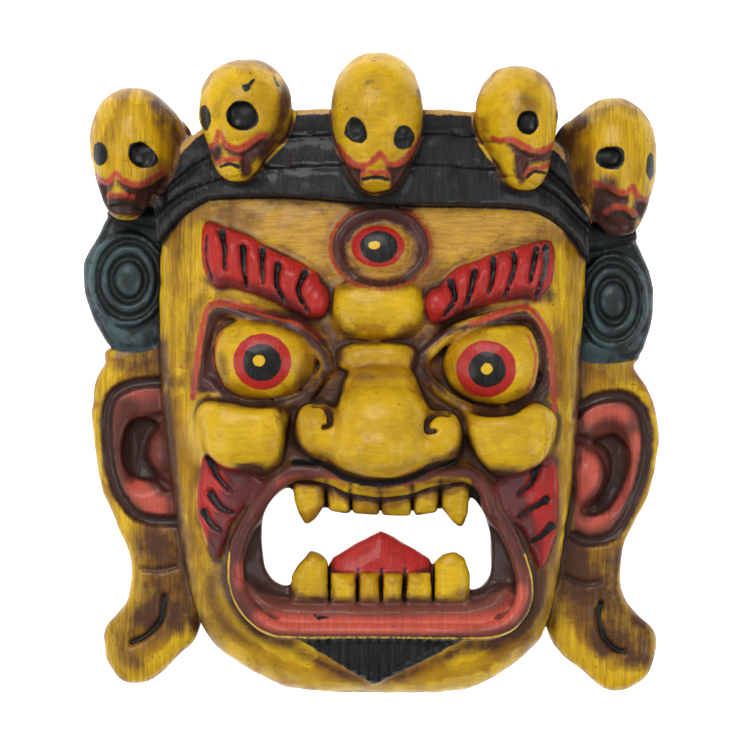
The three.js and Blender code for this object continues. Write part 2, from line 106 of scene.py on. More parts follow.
# Each skull: brain case, jaw, the shoulder that carries an outer one, and what is carved and
# painted on it
skulls = [
    {"at": (-119.5, 115, 42), "yaw": -34, "brain": (20.5, 27.5, 22), "jaw": (0, -22, 6),
     "chin": (11, 17, 13), "shoulder": (-107, 113, 32, 14.5, 20.5, 18),
     "sockets": [[(-139, 112), (-136.5, 114.7), (-133.5, 113.5), (-131.4, 109), (-132.4, 104.6),
                  (-135.5, 102.9), (-138, 105)],
                 [(-120.8, 112), (-118.5, 114), (-114, 114.2), (-109.2, 110.7), (-105.9, 105.9),
                  (-109.2, 102.3), (-115.2, 101.7), (-120, 105.9)]],
     "line": [(-137.5, 97.5), (-134.5, 95), (-131, 95), (-127.2, 98.8), (-123, 95), (-115.2, 93.2),
              (-109.5, 96.3), (-104, 99.5)],
     "hollows": [[(-137, 95), (-131, 93.6), (-128.6, 95.5), (-131.8, 87.5), (-130, 80), (-135, 87)],
                 [(-126.5, 95.5), (-122, 93), (-115.2, 91.6), (-108, 94), (-103, 98), (-102, 88),
                  (-105.5, 79.5), (-128, 79), (-131.5, 84.5), (-124.5, 86.2), (-121.5, 89)]],
     "lips": [(-131, 87.6), (-124.5, 87.9), (-118, 86.8)],
     "slot": [(-130, 83.5), (-122, 83.8), (-115, 81)]},
    {"at": (-62.5, 131, 66), "yaw": -28, "brain": (22, 24.5, 24), "jaw": (-1, -20, 7),
     "chin": (11.5, 16.5, 13),
     "sockets": [[(-84.6, 130.5), (-81.8, 131.8), (-79.7, 128), (-79.4, 123), (-81.6, 119.4),
                  (-84, 122.5)],
                 [(-70.9, 129.8), (-66.2, 133.6), (-60.2, 132.8), (-56, 127.4), (-56, 122.6),
                  (-61.4, 119), (-67.9, 120.8), (-71.5, 125)]],
     "line": [(-80.7, 111.5), (-78, 112.3), (-76.3, 114), (-75.6, 118.6), (-73.5, 115),
              (-70.9, 112), (-65.5, 110.2), (-61, 112.5), (-56, 116), (-52, 117)],
     "hollows": [[(-80, 110.2), (-76, 112), (-74.4, 109.5), (-75.5, 103.5), (-78.7, 106.5)],
                 [(-73, 112), (-66, 108.4), (-60, 111), (-52.5, 115.8), (-54.5, 109), (-59.5, 104.5),
                  (-60.5, 98), (-63.2, 97.8), (-65.5, 105.5), (-70, 108.5)]],
     "lips": [(-76, 103.4), (-73, 105), (-69.5, 104.6), (-65, 105.4)],
     "slot": [(-74.5, 101.6), (-70, 102.8), (-65.5, 101.2)]},
    {"at": (3, 129.2, 74), "yaw": 0, "brain": (22.8, 29.5, 26), "jaw": (0, -21, 4),
     "chin": (14, 19, 16),
     "sockets": [[(-12.6, 121), (-9.6, 125.2), (-5.8, 124.7), (-2.6, 119.5), (-2.2, 114.6),
                  (-5.4, 112.6), (-9.8, 114), (-12.8, 117)],
                 [(11, 114.6), (13.4, 120.2), (17.8, 121.3), (21.3, 117.6), (20.7, 112.3),
                  (16.2, 109.7), (12.4, 111)]],
     "line": [(-16.2, 111.8), (-13.5, 107), (-10, 103.4), (-6.4, 101.9), (-2.6, 102), (1, 104),
              (4.6, 107.4), (7, 104.4), (9.4, 102.3), (14.9, 103.6), (20.9, 109.6), (24.6, 115.6)],
     "hollows": [[(-15.6, 109), (-9.5, 101.6), (-3.5, 100.2), (-5, 97), (-6, 92), (-10, 94.5),
                  (-14, 101.5)],
                 [(8, 100.6), (15, 101.8), (21, 107.4), (24.4, 113), (23.6, 106.5), (17, 97.5),
                  (11.5, 91.5), (9.3, 96.5)]],
     "lips": [(-4.5, 97.3), (-1, 98.6), (2.3, 97.8), (6, 98.7), (9, 97.2)],
     "slot": [(-4, 95), (2.5, 96), (8.5, 94.8)]},
    {"at": (72.6, 128.2, 64), "yaw": 36, "brain": (19, 24, 21.5), "jaw": (0, -21, 7),
     "chin": (11, 17, 12.5),
     "sockets": [[(72.2, 122), (74, 127.6), (77.9, 129.2), (82, 127.4), (82.9, 122), (80.4, 118),
                  (76, 117.6)],
                 [(92.2, 131), (94.2, 130), (94.4, 124), (92.6, 123.5)]],
     "line": [(60.8, 115.5), (64, 114.4), (68.7, 115), (75.9, 111.9), (80, 109.8), (84.5, 109.4),
              (88, 111), (92, 113.6)],
     "hollows": [[(68.7, 113.1), (75, 109.9), (81.5, 107.9), (90, 110), (88.6, 105.5), (79.3, 103.6),
                  (76.6, 98), (74, 94.5), (71.8, 102.3), (72, 108)]],
     "lips": [(77, 98), (80, 100.6), (84, 100.8), (88.3, 103)],
     "slot": [(77.5, 96.4), (81, 99.1), (86.5, 98.6)]},
    {"at": (121.5, 107.8, 41), "yaw": 32, "brain": (20.5, 29.5, 23), "jaw": (0, -22, 6),
     "chin": (12, 18, 13), "shoulder": (108, 109, 32, 14.5, 19.5, 18),
     "sockets": [[(112.4, 107.4), (114.6, 111), (119.4, 111.9), (124.9, 111.3), (126.5, 106),
                  (123.7, 101.1), (116.6, 101.3), (112.2, 104.5)],
                 [(138, 106), (139.6, 109.8), (141.6, 107), (141.6, 100.5), (140, 95.6), (137.6, 99)]],
     "line": [(111.5, 94.4), (114.5, 92.8), (117.8, 92.6), (121.5, 90.6), (124.9, 89.2), (128, 89.6),
              (130.6, 92.4), (132.4, 89), (134.8, 86.5), (138.4, 86.3)],
     "hollows": [[(113, 92.2), (118, 91), (124.6, 87.6), (128.2, 87.6), (126.6, 82), (130, 78.4),
                  (131, 68), (117, 70), (110.5, 74), (111, 84)],
                 [(132.6, 86.6), (137.8, 84.5), (135.4, 77), (132.2, 79.4)]],
     "lips": [(117, 79.6), (122, 82.4), (127, 81.6), (132, 79)],
     "slot": [(117, 76), (124, 79.6), (131, 75.6)]},
]

discs = [
    {"outline": [(-130, 12), (-111, 12), (-97, 26), (-95, 60.5), (-105, 75.5), (-119, 80.5),
                 (-131, 79.5), (-139, 66.5), (-145, 54.5), (-145, 42.5), (-142.5, 31.5), (-137, 21)],
     "centre": (-122.3, 46.6), "radii": (19.5, 24)},
    {"outline": [(133, 7), (139, 16), (142.5, 30.5), (142.5, 42.5), (139, 54.5), (132, 67.5),
                 (120, 71.5), (107, 68.5), (97, 58.5), (97, 20), (109, 6)],
     "centre": (121.9, 35.8), "radii": (17.6, 24.5)}]
discProfile = [(0, 6.5), (0.2, 6.1), (0.34, 4.8), (0.41, 1.2), (0.48, 1.2), (0.55, 4.4), (0.64, 5),
               (0.7, 4.2), (0.77, 1.2), (0.83, 1.4), (0.9, 4), (0.97, 3.6), (1.06, -1.5)]

ears = [
    {"outline": [(-130, 12.5), (-134.5, 4), (-139, -4), (-140.5, -13), (-141, -24.5), (-139, -42),
                 (-136, -59), (-129, -75), (-123, -89), (-121, -98), (-122.5, -113),
                 (-127, -120.5), (-134.5, -130), (-134.5, -139), (-132.5, -147), (-128, -153.5),
                 (-122, -157), (-110, -154.5), (-98.5, -144), (-86, -126), (-80, -60), (-85, 14)],
     "groove": [(-96, -5), (-109, -4.8), (-121.2, -6.5), (-130.2, -12), (-133.3, -22), (-133.2, -35),
                (-131, -51), (-125.5, -64.5), (-115.8, -73.6), (-98, -75.2)],
     "hook": [(-106, -23), (-114, -26), (-119.5, -34), (-118.5, -45), (-111, -51), (-103, -58)],
     "concha": [(-122.4, -25.4), (-114, -22.5), (-106, -26), (-111, -34), (-112.5, -43), (-107.5, -51),
                (-102.5, -57.7), (-109.2, -56), (-118.8, -54.6), (-125.2, -48), (-126.3, -36)],
     "tragus": (-103.5, -40, 8.5, 11.5),
     "bowl": (-115, -41, 10.5, 20),
     "crescent": [(-104.2, -113), (-106, -124.5), (-112.7, -132.2), (-121, -136.5)],
     "crease": [(-116, -99), (-107, -99.8), (-98, -97.8)]},
    {"outline": [(133, 9), (132.5, 2.5), (138, -6), (142.5, -14.5), (145, -28), (145, -39.5),
                 (141, -59), (135, -72.5), (128, -86), (126, -102), (128, -113.5), (133, -121),
                 (142.5, -130), (144, -139), (140.5, -152), (133.5, -158), (126.5, -160.5),
                 (118.5, -160), (108.5, -151.5), (89.5, -130.5), (80.5, -60), (85, 8)],
     "groove": [(103.5, -21), (107.5, -16.8), (116.6, -12.8), (128.3, -12.6), (136.6, -19.6),
                (139.4, -35), (137, -51.5), (131.4, -67.5), (122.8, -82), (110, -85.4), (103, -83)],
     "hook": [(106, -34), (114.5, -38), (120.5, -46), (119, -57), (112.5, -66), (108.5, -70)],
     "concha": [(111.5, -35.5), (117.8, -41), (119.5, -49.3), (117, -58), (110.5, -66.1),
                (108, -70.5), (113, -73.8), (122, -68.5), (128.9, -55.3), (131.2, -41), (123, -30.6)],
     "tragus": (109.5, -54, 9.2, 14),
     "bowl": (120, -48, 11.5, 24),
     "crescent": [(116.2, -116.5), (114.8, -123), (117.2, -133), (123.5, -140), (127.5, -140.7)],
     "crease": [(97.7, -103), (107.2, -106.5), (115.5, -106)]}]

eyes = [
    {"at": (-53.5, 6.5),
     "almond": [(-78.7, 11), (-76.8, 21), (-71.5, 27.5), (-59.2, 25.7), (-41.2, 21.2), (-32.7, 15.5),
                (-23.7, 3.5), (-32.7, -8.5), (-41, -13), (-56.7, -14.7), (-66, -13.4), (-74, -7.5)],
     "upper": [(-85.5, -9), (-84.6, 10), (-80.2, 27), (-75.7, 31.5), (-60.7, 27.5), (-46.7, 23.6),
               (-36.2, 21.4), (-25.2, 10), (-20.5, 2)],
     "lower": [(-81, -6), (-72.7, -13), (-56, -17.3), (-41, -15.5), (-31, -10.6), (-22.5, 1)],
     "orange": [(-89.3, -13), (-87.5, 2), (-85.2, 17), (-80.5, 33), (-65.2, 32.8), (-52.2, 29),
                (-36.2, 24.6), (-26, 17.5)],
     "lid": [(-88, -10), (-86.5, 2), (-84.4, 17), (-79.8, 32), (-65.2, 31.8), (-52.2, 28),
             (-36.2, 23.6), (-26, 16.5), (-20.5, 3), (-30, -10), (-41, -15), (-56, -16.5),
             (-74, -11)],
     "vein": [(-73.2, 23), (-78.0, 11.5), (-77.4, 0), (-73, -7.5)],
     "iris": (-54.1, 5, 14.5, 14), "pupil": (-54.2, 4.6, 9.6, 9.4), "dot": (-55.7, 5.4, 2.9, 2.7)},
    {"at": (63, 4.5),
     "almond": [(24.2, 5), (31, 13), (41.2, 19), (55.7, 22.2), (69, 24), (77.7, 24), (82.5, 15),
                (83.7, 1.5), (79.3, -10), (70.2, -16.9), (58.7, -18.6), (48.2, -16.3),
                (41.2, -12.8), (31.7, -3)],
     "upper": [(22, 2.5), (27.2, 8), (38.7, 18.3), (50.2, 23.4), (67.2, 27.6), (79.5, 28.2),
               (85, 20.5), (87, 7.5), (87.4, -6)],
     "lower": [(24, 0), (33, -8.5), (42, -15.3), (57, -21), (71, -19.7), (80.5, -13.5), (87, -5)],
     "orange": [(50, 24), (56.2, 26), (70.2, 31.2), (79.5, 31.3), (88.5, 18), (91.3, -4),
                (92.3, -19)],
     "lid": [(37, 21.5), (50, 24.4), (56.2, 25), (70.2, 30), (79, 30), (87.6, 17.5), (90, -3),
             (88, -12), (79, -15), (70, -19.4), (57, -20.6), (42, -15), (31, -7), (19, 3), (27, 15)],
     "vein": [(78.2, 18), (81.9, 7.5), (80.8, -3), (77, -11.5)],
     "iris": (57.3, 1.4, 14.9, 14.2), "pupil": (57.9, 1.2, 9.3, 8.9), "dot": (57.6, 1.4, 2.7, 2.7)}]
thirdEye = {"rim": (5.0, 62.0, 25, 21), "yellow": (5.2, 60.2, 17.4, 14.2),
            "iris": (3.5, 62.4, 13.3, 10.5), "pupil": (4, 62.1, 9.4, 8), "dot": (1.8, 63, 2.7, 1.9)}

brows = [
    {"outline": [(-83, 74), (-73.5, 72), (-66, 69.7), (-56.2, 64.8), (-49.2, 60.5), (-41, 56.7),
                 (-33.4, 53.2), (-27, 48.5), (-24.8, 43), (-24.5, 34), (-29, 26.5), (-36.2, 29.5),
                 (-45.2, 33.5), (-57.7, 38.5), (-70.2, 42), (-78, 42.5), (-81.5, 47), (-84.3, 57)],
     "knob": (-27.3, 35.5, 6.6, 8.6),
     "cuts": [[(-74.3, 71), (-73.3, 62), (-73, 51)], [(-63.7, 62), (-63.5, 52), (-62.2, 42)],
              [(-53.5, 62.5), (-54.2, 54), (-53.8, 44)], [(-46.4, 53), (-47, 43), (-43, 33.5)],
              [(-31.2, 52), (-36.2, 40.5), (-32, 30)]],
     "edge": [(-82.3, 68), (-82.2, 56), (-79.2, 46)]},
    {"outline": [(90.3, 64.7), (75.7, 62.5), (70.2, 60.8), (58.7, 57.6), (50.7, 54), (44.2, 52.2),
                 (39.5, 48.5), (34, 42.5), (28.2, 37), (27.2, 30), (31.5, 24), (41.2, 27.5),
                 (48.2, 31), (66.2, 35.2), (78.7, 37), (82.5, 35.2), (88, 41), (90.8, 47)],
     "knob": (33.5, 34.2, 6.8, 7.4),
     "cuts": [[(87.7, 62), (86.7, 49), (82.3, 36.5)], [(82.7, 61), (81.5, 54), (79.7, 44.5)],
              [(70.2, 61), (71.7, 53), (66.7, 35.5)], [(61, 58), (61, 48), (59, 39)],
              [(51.7, 50), (50, 41), (47.6, 31)], [(39, 45.5), (42, 36), (36.5, 27.5)]],
     "edge": []}]

cheeks = [
    [(-90, -13), (-87.5, -20), (-84.3, -28.5), (-82, -39.5), (-75.2, -46.5), (-70.2, -49),
     (-59.7, -50.7), (-50.5, -50.5), (-45, -45.5), (-42.7, -32), (-41, -22), (-47, -17.5),
     (-57, -18.5), (-72, -15.5)],
    [(45, -20), (48.7, -33), (52.7, -41.8), (58.7, -49.3), (67.2, -52.3), (75.7, -50.5),
     (84.5, -45.2), (90.5, -35), (92.5, -22), (82, -15.5), (71, -21.5), (57, -22.5)]]
cheekBalls = [(-62, -31, 52), (69, -33, 52)]

# Rounded forms down the middle of the face: centre, radii, squareness, blend
noseForms = [
    ((3.5, 31, 59), (23.5, 15.5, 13.5), 2.6, 3.5),  # knot between the brows
    ((3, 6.8, 62), (20.3, 7.6, 11.5), 3, 1.6),  # fold under it
    ((5, -10, 62), (19, 15, 20), 2.5, 3),  # bridge
    ((5.5, -28, 66), (24.5, 23.5, 30), 2.4, 5),
    ((4.5, -38, 72), (23, 14, 25), 2.3, 5),  # tip
    ((-27, -28.5, 67), (11, 13, 19), 2.3, 5),  # wings
    ((34.5, -32.5, 67), (11, 13, 19), 2.3, 5),
    ((-15, -34, 66), (13, 12, 19), 2.2, 6),
    ((23, -36, 66), (13, 12, 19), 2.2, 6)]
nostrilLine = [(-27, -34), (-20, -42), (-8, -47.5), (4, -49.3), (16, -48), (27, -42.5), (36, -38)]
faceFillers = [
    ((-77, -31, 48), (14, 16, 14), 6), ((79, -35, 48), (13, 15, 14), 6),  # cheeks
    ((-29, 3, 51), (8, 6, 7), 3), ((29, 3, 51), (8, 6, 7), 3)]  # corners of the eyes

upperLip = [(-57, -69), (-51, -60), (-45, -53.5), (-38, -49.8), (-30, -49.6), (-21, -51.5),
            (-10.7, -55.8), (0, -58), (8.2, -58.2), (17, -56.8), (25.2, -54.2), (34, -52), (43, -50.7),
            (50, -51.7), (57, -58), (61, -70)]
lowerLip = [(-57, -69), (-63, -79), (-66.8, -90), (-67.4, -102), (-65, -112), (-58.5, -121.5),
            (-49, -128), (-36, -129.8), (2, -129.8), (40, -130.2), (59, -129.5), (70, -124.5),
            (76, -115), (76.5, -104), (73, -91), (67.5, -79), (61, -70)]
lipBody = [(-48, -57), (-38, -49.5), (-28, -49), (-20, -51), (-10, -55.5), (4, -57.8), (18, -56),
           (30, -52.5), (42, -50), (53, -55), (48, -44), (32, -38), (-24, -38), (-42, -45)]
lowerBand = [(-62, -104), (-61, -114), (-52, -123.5), (-36, -127), (2, -127.5), (40, -127.5),
             (58, -126.5), (69, -119), (71, -106), (62, -108), (54, -112), (40, -114), (2, -114),
             (-38, -114), (-50, -111)]
mouthHole = [(-40, -58.5), (-46, -60.3), (-52.3, -67.5), (-54.9, -79), (-53.5, -96), (-50.5, -102.5),
             (-46.5, -106), (-40.8, -106.8), (-37, -101), (-20, -99), (18, -99), (33, -101), (44, -107),
             (50, -109), (55.3, -107.7), (59.4, -102.5), (60.4, -93), (59.4, -80), (56.7, -71),
             (50.5, -63), (44, -67), (30, -68.5), (0, -69), (-22, -68), (-36, -66)]
upperTeeth = [
    [(-39.3, -54), (-22.5, -53), (-23.4, -66), (-27.5, -73), (-32.3, -76.3), (-35.8, -71.5),
     (-38.2, -64)],
    [(-22.3, -53), (-10.8, -55), (-10.8, -70.4), (-21, -69.6)],
    [(-9.7, -55), (4, -58), (4.2, -71.7), (-9, -71)],
    [(5.2, -58), (20, -57), (20, -72), (5.4, -72)],
    [(21.2, -56), (34.3, -52), (33, -70), (21.7, -72)],
    [(35.2, -52), (50, -53), (48.6, -70), (46, -77), (44.3, -78), (41, -75), (35.4, -68)]]
lowerTeeth = [
    [(-39.7, -116), (-39.5, -102), (-36, -96), (-30.3, -89.2), (-25, -91), (-21.7, -95),
     (-21.7, -116)],
    [(-20, -116), (-20, -100.6), (-8, -100.3), (-7.4, -116)],
    [(-6, -116), (-5.6, -100.4), (4, -100.4), (4.3, -116)],
    [(6.2, -116), (6.2, -100.5), (16, -100.5), (15.4, -116)],
    [(17.6, -116), (18.3, -100.4), (29.8, -100.4), (30.6, -116)],
    [(31.8, -116), (31.7, -95), (36, -91.3), (42, -89.8), (47, -93), (49.6, -101), (49.2, -116)]]
tongue = [(-25, -112), (-21, -97), (-19, -93), (-8, -86.3), (0, -82), (4.7, -80), (10, -82.2),
          (18, -86.4), (29, -93), (31, -97), (35, -112)]

flames = [
    {"outline": [(-82.5, -41), (-85.5, -52), (-86.7, -62.5), (-86, -72), (-82.5, -82.5), (-77.5, -93),
                 (-74, -88), (-70, -76), (-62, -66), (-51.5, -56.5), (-62, -50), (-74, -47)],
     "cuts": [[(-81.2, -42), (-77, -52), (-70.2, -59.5)], [(-80.2, -61), (-75, -68), (-67.7, -70.5)],
              [(-83.7, -70), (-80, -76), (-74.7, -80)]]},
    {"outline": [(90.3, -42), (93.3, -52), (93.9, -63), (93.7, -73.5), (90.3, -88.5), (85, -99),
                 (81, -91), (76, -80), (69, -72), (60.5, -58), (70, -52), (82, -47)],
     "cuts": [[(83, -47), (80, -56), (74, -61)], [(88, -64), (81, -68), (73.5, -73.3)],
              [(91, -77), (85, -82.5), (78.3, -86)]]}]
beard = [(-37.7, -132), (5, -132), (48.7, -132), (26, -144.5), (1.3, -156.5), (-19, -144)]
beardGrooves = {"count": 18, "from": -36, "step": 5.0, "top": -132.5, "drop": 22, "middle": 2,
                "halfWidth": 42}

foreheadOutline = [(-100, 85), (100, 78), (92, 66), (40, 55), (26, 46), (4, 44), (-20, 46), (-34, 58),
                   (-84, 78)]
underNose = [(-38, -45.5), (-30, -45), (-22, -46.5), (-12, -52.8), (4, -55.4), (20, -52.6), (31, -46.5),
             (42, -44.8)]
noseHooks = [
    [(-28.5, -16), (-23.5, -16.6), (-20.4, -20.5), (-20.2, -25.5), (-23.2, -27.4)],
    [(39, -20.8), (33, -20.4), (28.8, -23.6), (28.2, -29), (31.4, -29)]]
upperGaps = (-22.6, -10.3, 4.6, 20.6, 34.8)

# Places where the paint has chipped: outline and how far it grows
darkChips = [
    ([(-64, 143.6), (-61.5, 141.5), (-59, 144.5), (-57.2, 144.2), (-61, 138.6), (-63.2, 139)], 0.1),
    ([(-48.6, 147.5), (-46, 143.2), (-45.3, 141), (-47, 142)], 0.2)]
darkScratch = [(-67, 152.3), (-66.3, 149), (-66.6, 146)]
brownChip = [(-2.6, 142.6), (1.2, 142.7), (1, 141.6), (-2.4, 141.4)]
lipChip = [(-28.5, -121), (-26.5, -123.8), (-24, -122.4), (-26.2, -121)]
lipScratch = [(-23, -122.8), (-18, -122.4)]

# Brown wash, part antiquing and part painted shade; bright rubbed ochre, part painted highlight; and
# pink, brushed on softly: line, width, fade, strength
washAndShadeStrokes = [
    ([(-90, 84), (-76, 84), (-60, 84), (-30, 83), (-20, 74)], 1.5, 3.5, 0.6),
    ([(-76, 79), (-66, 76)], 6, 4, 0.55),
    ([(-84, 76), (-60, 69), (-36, 58), (-22, 46), (-20, 34)], 1.5, 3.5, 0.6),
    ([(94, 66), (70, 64), (46, 56), (34, 47), (26, 36)], 1.5, 3.5, 0.6),
    ([(-30, 24), (-21, 20), (-17, 12), (-19, 2)], 6, 4.5, 0.95),
    ([(-44, 34), (-32, 27), (-22, 20)], 2.5, 3, 0.8),
    ([(38, 24), (28, 19), (24, 12), (26, 2)], 5, 4.5, 0.9),
    ([(52, 31), (38, 26), (28, 22)], 2, 3, 0.7),
    ([(-22, 15.5), (0, 15), (26, 15.5)], 2, 2.5, 0.8),
    ([(-19, -2), (0, -2.5), (28, -2)], 1.2, 3, 0.55),
    ([(-22, 0), (-26, -10), (-37, -15), (-39, -26), (-37, -36), (-30, -44)], 3.2, 3, 0.95),
    ([(27, -2), (32, -13), (44, -19), (46, -29), (44, -38), (36, -44)], 3, 3, 0.9),
    ([(-14, -5), (-18, -14), (-21, -22)], 2, 4.5, 0.6),
    ([(24, -5), (27, -14), (29, -22)], 2, 4.5, 0.55),
    ([(-45, -19), (-43, -32), (-46, -44), (-56, -51), (-72, -50.5)], 1.6, 3.2, 0.8),
    ([(46, -20), (48, -33), (54, -44), (66, -53), (82, -48)], 1.6, 3, 0.75),
    ([(-48, -50), (-38, -47), (-26, -46)], 6, 3.5, 0.95),
    ([(52, -52), (42, -46), (32, -45)], 5, 3.5, 0.85),
    ([(-22, -47), (4, -56), (30, -47)], 2.5, 2.5, 0.95),
    ([(-82, -14), (-66, -17), (-46, -16.5)], 1.5, 3, 0.65),
    ([(86, -12), (66, -20), (46, -18)], 1.5, 3, 0.6),
    ([(-98, 70), (-99, 20), (-98, -30), (-93, -90)], 1.5, 4, 0.5),
    ([(-90, 66), (-91, 30), (-90, 8)], 2, 3.5, 0.4),
    ([(101, 60), (102, 0), (100, -60)], 1.2, 3, 0.4),
    ([(92, 62), (93, 30), (93, -20)], 0.8, 2.5, 0.35),
    ([(-74, -92), (-72, -104), (-66, -118), (-54, -131), (-40, -136)], 5, 5, 0.85),
    ([(-78, -98), (-80, -112), (-72, -128), (-58, -140)], 5, 6, 0.6),
    ([(84, -100), (84, -112), (79, -124), (66, -134), (50, -137)], 6, 5, 0.9),
    ([(-44, -134), (-26, -145), (0, -158.5)], 2.5, 4.5, 0.85),
    ([(56, -134), (34, -144), (4, -158)], 3, 5, 0.85),
    ([(-56, -132), (0, -131.6), (60, -132)], 1.0, 2, 0.7),
    ([(-56, -68), (-58, -84), (-58, -100), (-52, -110), (-40, -112)], 5, 5, 0.9),
    ([(60, -66), (63, -84), (64, -100), (56, -110), (44, -112)], 5, 5, 0.85),
    ([(-46, -113.5), (0, -114.5), (54, -113.5)], 3, 3.5, 0.85),
    ([(-40, -114), (50, -114)], 1, 6, 0.5),
    ([(-52, -62), (-40, -54), (-24, -53)], 2, 3, 0.7),
    ([(56, -62), (44, -55), (28, -55)], 2, 3, 0.7),
    ([(-38, -50), (-24, -53), (-10, -57), (4, -60), (20, -58), (34, -53), (48, -53)], 1.2, 2.5, 0.6),
    ([(-56, -56), (-62, -66), (-68, -78), (-72, -90)], 7, 5, 0.85),
    ([(62, -56), (68, -68), (74, -80), (80, -94)], 8, 5, 0.95),
    ([(64, -54), (72, -58)], 6, 4, 0.9),
    ([(-106, 14), (-104, 0), (-102, -30), (-98, -70), (-93, -110), (-88, -128)], 6, 4.5, 0.9),
    ([(-110, 8), (-108, -3)], 6, 4, 0.6),
    ([(106, 14), (104, -10), (102, -60), (98, -100), (92, -128)], 3, 3, 0.8),
    ([(-112, -80), (-108, -92), (-105, -104), (-106, -118), (-114, -134), (-124, -142)], 12, 7, 0.62),
    ([(-104, -96), (-99, -112), (-98, -126)], 10, 6, 0.8),
    ([(-128, -148), (-118, -140)], 8, 6, 0.55),
    ([(-130, 4), (-118, 3)], 5, 4, 0.55),
    ([(104, -94), (104, -108), (110, -124), (118, -136)], 14, 7, 0.85),
    ([(134, -126), (139, -134), (137, -144)], 6, 5, 0.85),
    ([(120, 4), (134, -2)], 5, 4, 0.55),
    ([(112, 2), (104, -8)], 5, 4, 0.5),
    ([(-130, 116), (-128, 128), (-122, 138)], 3, 4, 0.4),
    ([(-104, 124), (-99, 114), (-98, 100), (-102, 84)], 6, 5, 0.8),
    ([(-112, 88), (-108, 98), (-102, 104)], 6, 5, 0.75),
    ([(-76, 134), (-77, 128)], 3, 3, 0.5),
    ([(-42, 142), (-43, 130), (-47, 118), (-54, 106)], 4, 4.5, 0.9),
    ([(-74, 150), (-62, 154), (-50, 150)], 2, 3, 0.35),
    ([(24, 140), (25, 126), (23, 112)], 1.5, 3, 0.45),
    ([(-19, 138), (-19, 124), (-17, 112)], 1.5, 3, 0.5),
    ([(76, 134), (74, 128), (80, 132)], 5, 4, 0.5),
    ([(56, 124), (58, 112), (66, 98)], 2, 3.5, 0.5),
    ([(102, 112), (106, 100), (108, 88)], 7, 6, 0.8),
    ([(112, 128), (122, 134), (132, 130)], 3, 4, 0.5),
    ([(118, 92), (116, 80), (120, 68)], 10, 4, 0.7),
    ([(-130, 84), (-118, 82), (-108, 84)], 6, 4, 0.9),
    ([(5, 83), (24, 79), (32, 64), (26, 46), (5, 39), (-16, 44), (-24, 60), (-16, 77), (5, 83)],
     1, 3, 0.5),
    ([(34, 42), (30, 48), (34, 54)], 3, 4, 0.5),
    ([(-56, -56), (-64, -68), (-68, -82)], 16, 5, 1.0),
    ([(70, -54), (66, -60), (72, -72)], 12, 5, 0.9),
    ([(122, -26), (129, -40), (126, -56), (118, -68)], 6, 5, 0.65),
    ([(-122, -18), (-125, -34), (-121, -50)], 8, 5, 0.85),
    ([(-110, -14), (-102, -20)], 6, 5, 0.6),
    ([(90, 38), (72, 36), (56, 33), (44, 29)], 5, 4, 0.8),
    ([(-31, 6), (-35, -6)], 4, 4, 0.6),
    ([(-74, 8), (-73, -5)], 3, 3, 0.45),
    ([(30, 4), (36, 10)], 4, 4, 0.5),
    ([(78, -8), (70, -14)], 3, 3, 0.45),
    ([(-70, 80), (-58, 74)], 7, 6, 0.6),
    ([(-84, 80), (-92, 74)], 5, 6, 0.5),
    ([(86, 70), (94, 66)], 5, 6, 0.5),
    ([(-138, 96), (-134, 86), (-126, 80)], 5, 5, 0.6),
    ([(136, 82), (132, 72), (124, 66)], 5, 5, 0.6),
    ([(-84, -46), (-90, -60), (-90, -80), (-84, -100)], 2, 4, 0.5),
    ([(-92, -100), (-86, -122), (-76, -138)], 5, 7, 0.6),
    ([(92, -96), (88, -118), (76, -138)], 5, 7, 0.6),
    ([(-60, -54), (-66, -64), (-70, -76), (-73, -88)], 17, 6, 0.95),
    ([(-112, -84), (-108, -98), (-108, -114), (-114, -130)], 17, 8, 0.8),
    ([(-128, -122), (-125, -134), (-120, -146)], 12, 8, 0.6),
    ([(122, -96), (118, -110), (124, -128), (134, -142)], 15, 8, 0.8),
    ([(104, -90), (102, -104), (106, -122)], 12, 6, 0.9),
    ([(-110, 8), (-124, 6)], 10, 5, 0.7),
    ([(110, 6), (126, 0)], 10, 5, 0.6),
    ([(-106, 134), (-100, 124), (-98, 110), (-97, 96)], 6, 5, 0.85),
    ([(106, 126), (100, 116), (97, 104), (104, 90)], 6, 5, 0.85),
    ([(-80, 46), (-64, 41), (-46, 35), (-34, 28)], 5, 4, 0.8),
    ([(-84, 38), (-90, 24), (-91, 4), (-90, -12)], 3, 4, 0.55),
    ([(93, 30), (95, 8), (94, -14)], 2, 3.5, 0.5),
    ([(-24, 40), (-14, 42), (-4, 40)], 3, 5, 0.4),
    ([(-20, 26), (-16, 20), (-10, 17)], 5, 4, 0.6),
    ([(26, 24), (20, 19), (14, 17)], 5, 4, 0.6),
    ([(-95, 80), (-97, 60), (-97, 40)], 5, 6, 0.55),
    ([(98, 70), (100, 50), (101, 20)], 3, 5, 0.35),
    ([(-82, 47), (-66, 43), (-50, 38), (-38, 32)], 3, 4, 0.75),
    ([(88, 40), (72, 38.5), (56, 35), (44, 31)], 3, 4, 0.7),
    ([(-57, -53), (-62, -64), (-66, -76), (-71, -88)], 10, 6, 0.95),
    ([(64, -54), (68, -62), (73, -74), (78, -88)], 12, 6, 1.0),
    ([(92, -60), (94, -80), (86, -100)], 1, 2.5, 0.7),
]
